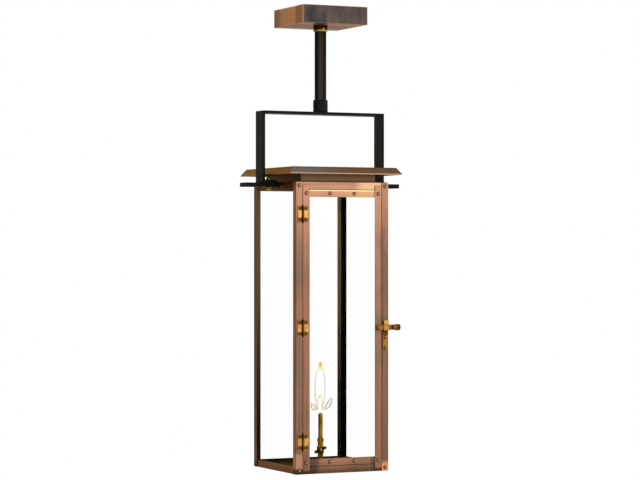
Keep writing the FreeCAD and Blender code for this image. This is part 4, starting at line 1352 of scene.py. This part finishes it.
@dataclass
class Flame(Assembly):
    """Open gas flame over the burner tip, with two small side tongues."""

    base: float = -1.044
    skin: Sequence[Span] = (
        (0.0064, 0.133), (0.0078, 0.139), (0.0096, 0.149), (0.0116, 0.163), (0.0125, 0.180),
        (0.0119, 0.196), (0.0101, 0.211), (0.0074, 0.224), (0.0046, 0.234), (0.0020, 0.240),
        (0.0, 0.2425),
    )
    core: Sequence[Span] = (
        (0.0062, 0.1335), (0.0061, 0.145), (0.0058, 0.155), (0.0046, 0.162), (0.0024, 0.1655),
        (0.0, 0.1665),
    )
    steps: int = 40
    lean: float = -0.0015
    lean_power: int = 6
    tongues: Sequence[tuple[int, float, float]] = ((-1, 0.0245, 0.0135), (1, 0.0300, 0.0262))
    tongue_root: Span = (0.0085, 0.1345)
    tongue_girth: float = 0.0060
    tongue_tilt: Span = (0.55, 0.83)
    tongue_arc: Span = (0.05, 0.94)
    tongue_curl: float = 1.7
    tongue_swell: float = 1.4
    tongue_blunt: float = 0.7
    tongue_rings: int = 12
    tongue_steps: int = 16

    @staticmethod
    def circle(steps: int) -> list[Span]:
        """Return the cosine and sine of each step round a circle."""
        angles = [math.tau * step / steps for step in range(steps)]
        return [(math.cos(angle), math.sin(angle)) for angle in angles]

    @staticmethod
    def cover(work: bmesh.types.BMesh, rings: Sequence[Sequence[Point]], index: int) -> None:
        """Add a skin over rings of points, of which the last may be one point.

        Args:
            work: The mesh that takes the skin.
            rings: The points of each ring, from the foot to the tip.
            index: The place of the skin's material.
        """
        loops = [[work.verts.new(point) for point in ring] for ring in rings]
        for lower, upper in zip(loops, loops[1:]):
            for step, corner in enumerate(lower):
                following = (step + 1) % len(lower)
                over = upper if len(upper) == 1 else (upper[following], upper[step])
                work.faces.new((corner, lower[following], *over)).material_index = index

    def turned(self, profile: Sequence[Span]) -> list[list[Point]]:
        """Return the rings of a skin that is turned about the burner's middle line.

        Args:
            profile: Radius and height of each ring.

        Returns:
            The points of each ring.
        """
        rings = []
        top = self.skin[-1][1]
        for radius, height in profile:
            aside = self.lean * (1.0 - (height / top) ** self.lean_power)
            around = self.circle(self.steps) if radius else [(0.0, 0.0)]
            rings.append([(aside + radius * c, radius * s, self.base + height) for c, s in around])
        return rings

    def tongue(self, side: int, reach: float, climb: float) -> list[list[Point]]:
        """Return the rings of one leaf-shaped side tongue.

        Args:
            side: -1 for the left and 1 for the right.
            reach: Distance of its tip from the burner's middle line.
            climb: Height of its tip above its root.

        Returns:
            The points of each ring.
        """
        rings = []
        out, up = self.tongue_root
        flat, steep = self.tongue_tilt
        start, stretch = self.tongue_arc
        for index in range(self.tongue_rings + 1):
            share = index / self.tongue_rings
            along = out + (reach - out) * share
            height = self.base + up + climb * share ** self.tongue_curl
            arc = math.pi * (start + stretch * share ** self.tongue_swell)
            girth = self.tongue_girth * math.sin(arc) ** self.tongue_blunt
            rings.append([
                (side * (along - flat * girth * c), flat * girth * s, height + steep * girth * c)
                for c, s in self.circle(self.tongue_steps)
            ])
        return rings

    def build(self) -> None:
        """Make the flame as one smooth piece."""
        finishes = (FLAME, FLAME_CORE, FLAME_TONGUE)
        work = bmesh.new()
        for shape in self.tongues:
            self.cover(work, self.tongue(*shape), finishes.index(FLAME_TONGUE))
        self.cover(work, self.turned(self.core), finishes.index(FLAME_CORE))
        self.cover(work, self.turned(self.skin), finishes.index(FLAME))
        bmesh.ops.recalc_face_normals(work, faces=work.faces)
        for face in work.faces:
            face.smooth = True
        mesh = bpy.data.meshes.new("gas_flame")
        work.to_mesh(mesh)
        work.free()
        for finish in finishes:
            mesh.materials.append(finish.material())
        new_piece("gas_flame", mesh, "lantern")


@dataclass
class Studio:
    """Camera, white surroundings, floor, soft lamp and the card that the metal mirrors."""

    camera_place: Point = (-2.2958, -4.8003, -0.5452)
    camera_turn: float = -25.56
    lens: float = 131.77
    sensor: float = 36.0
    shift: Span = (-0.0007, 0.0137)
    sight: float = 50.0
    soft_light: float = 0.75
    floor_level: float = -1.45
    floor_half: float = 2.2
    card_x: float = -1.6
    card_y: Span = (-0.6, 6.0)
    card_top: float = 0.7
    lamp_place: Point = (1.55, -2.75, -0.05)
    lamp_aim: Point = (0.05, -0.1, -0.42)
    lamp_colour: Point = (1.0, 0.95, 0.88)
    lamp_size: float = 0.55
    lamp_power: float = 2.2

    def place_camera(self) -> None:
        """Stand the camera where the photograph was taken from."""
        data = bpy.data.cameras.new("camera")
        data.lens = self.lens
        data.sensor_width = self.sensor
        data.shift_x, data.shift_y = self.shift
        data.clip_end = self.sight
        camera = bpy.data.objects.new("camera", data)
        camera.location = self.camera_place
        camera.rotation_euler = (math.radians(90), 0.0, math.radians(self.camera_turn))
        bpy.context.scene.collection.objects.link(camera)
        bpy.context.scene.camera = camera

    def light_world(self) -> None:
        """Surround the lantern with white for the eye, gloss and glass, and with soft light."""
        world = bpy.data.worlds.new("white_surroundings")
        world.use_nodes = True
        bpy.context.scene.world = world
        graph = Graph(world.node_tree)
        rays = graph.add("ShaderNodeLightPath").socket.node
        eye, gloss, clear = (
            Signal(graph, rays.outputs[f"Is {kind} Ray"])
            for kind in ("Camera", "Glossy", "Transmission")
        )
        seen = (eye + gloss + clear).ramp(0.0, 1.0)
        strength = self.soft_light + (1.0 - self.soft_light) * seen
        shade = graph.add("ShaderNodeBackground", {}, {"Color": WHITE, "Strength": strength})
        graph.add("ShaderNodeOutputWorld", {}, {"Surface": shade})

    def sheet(self, name: str, corners: Sequence[Point], finish: Finish, seen: bool) -> None:
        """Add a flat stage sheet.

        Args:
            name: The sheet's name.
            corners: Its four corners.
            finish: Its paint.
            seen: Whether the camera sees it, or only the metal does.
        """
        mesh = bpy.data.meshes.new(name)
        mesh.from_pydata(corners, [], [(0, 1, 2, 3)])
        mesh.materials.append(finish.material())
        card = bpy.data.objects.new(name, mesh)
        card.visible_camera = seen
        bpy.context.scene.collection.objects.link(card)

    def lay_floor(self) -> None:
        """Lay the pale floor under the lantern."""
        half = self.floor_half
        sides = ((-half, -half), (half, -half), (half, half), (-half, half))
        self.sheet("pale_floor", [(x, y, self.floor_level) for x, y in sides], FLOOR_PAINT, True)

    def stand_card(self) -> None:
        """Stand a dark card to the left, which the lantern's left faces mirror."""
        near, far = self.card_y
        low, top = self.floor_level, self.card_top
        sides = ((near, low), (far, low), (far, top), (near, top))
        self.sheet("left_card", [(self.card_x, y, z) for y, z in sides], CARD_PAINT, False)

    def hang_lamp(self) -> None:
        """Hang one large soft lamp to the front and right."""
        data = bpy.data.lights.new("soft_lamp", "AREA")
        data.shape = "SQUARE"
        data.size = self.lamp_size
        data.energy = self.lamp_power
        data.color = self.lamp_colour
        lamp = bpy.data.objects.new("soft_lamp", data)
        lamp.location = self.lamp_place
        way = Vector(self.lamp_aim) - Vector(self.lamp_place)
        lamp.rotation_euler = way.to_track_quat("-Z", "Y").to_euler()
        bpy.context.scene.collection.objects.link(lamp)

    def build(self) -> None:
        """Set up everything round the lantern."""
        bpy.context.scene.view_settings.view_transform = "Standard"
        self.place_camera()
        self.light_world()
        self.lay_floor()
        self.stand_card()
        self.hang_lamp()


def main() -> None:
    """Build and dress the lantern's sub-assemblies, then the studio."""
    logging.basicConfig(level=logging.INFO, format="%(name)s: %(message)s")
    parts: tuple[Assembly, ...] = (
        CeilingMount(), Yoke(), Head(), Case(), Door(), Hinges(), Latch(), Burner(), Flame(),
    )
    for part in parts:
        part.build()
        part.dress()
        LOG.info("finished %s", type(part).__name__)
    Studio().build()


if __name__ == "__main__":
    main()
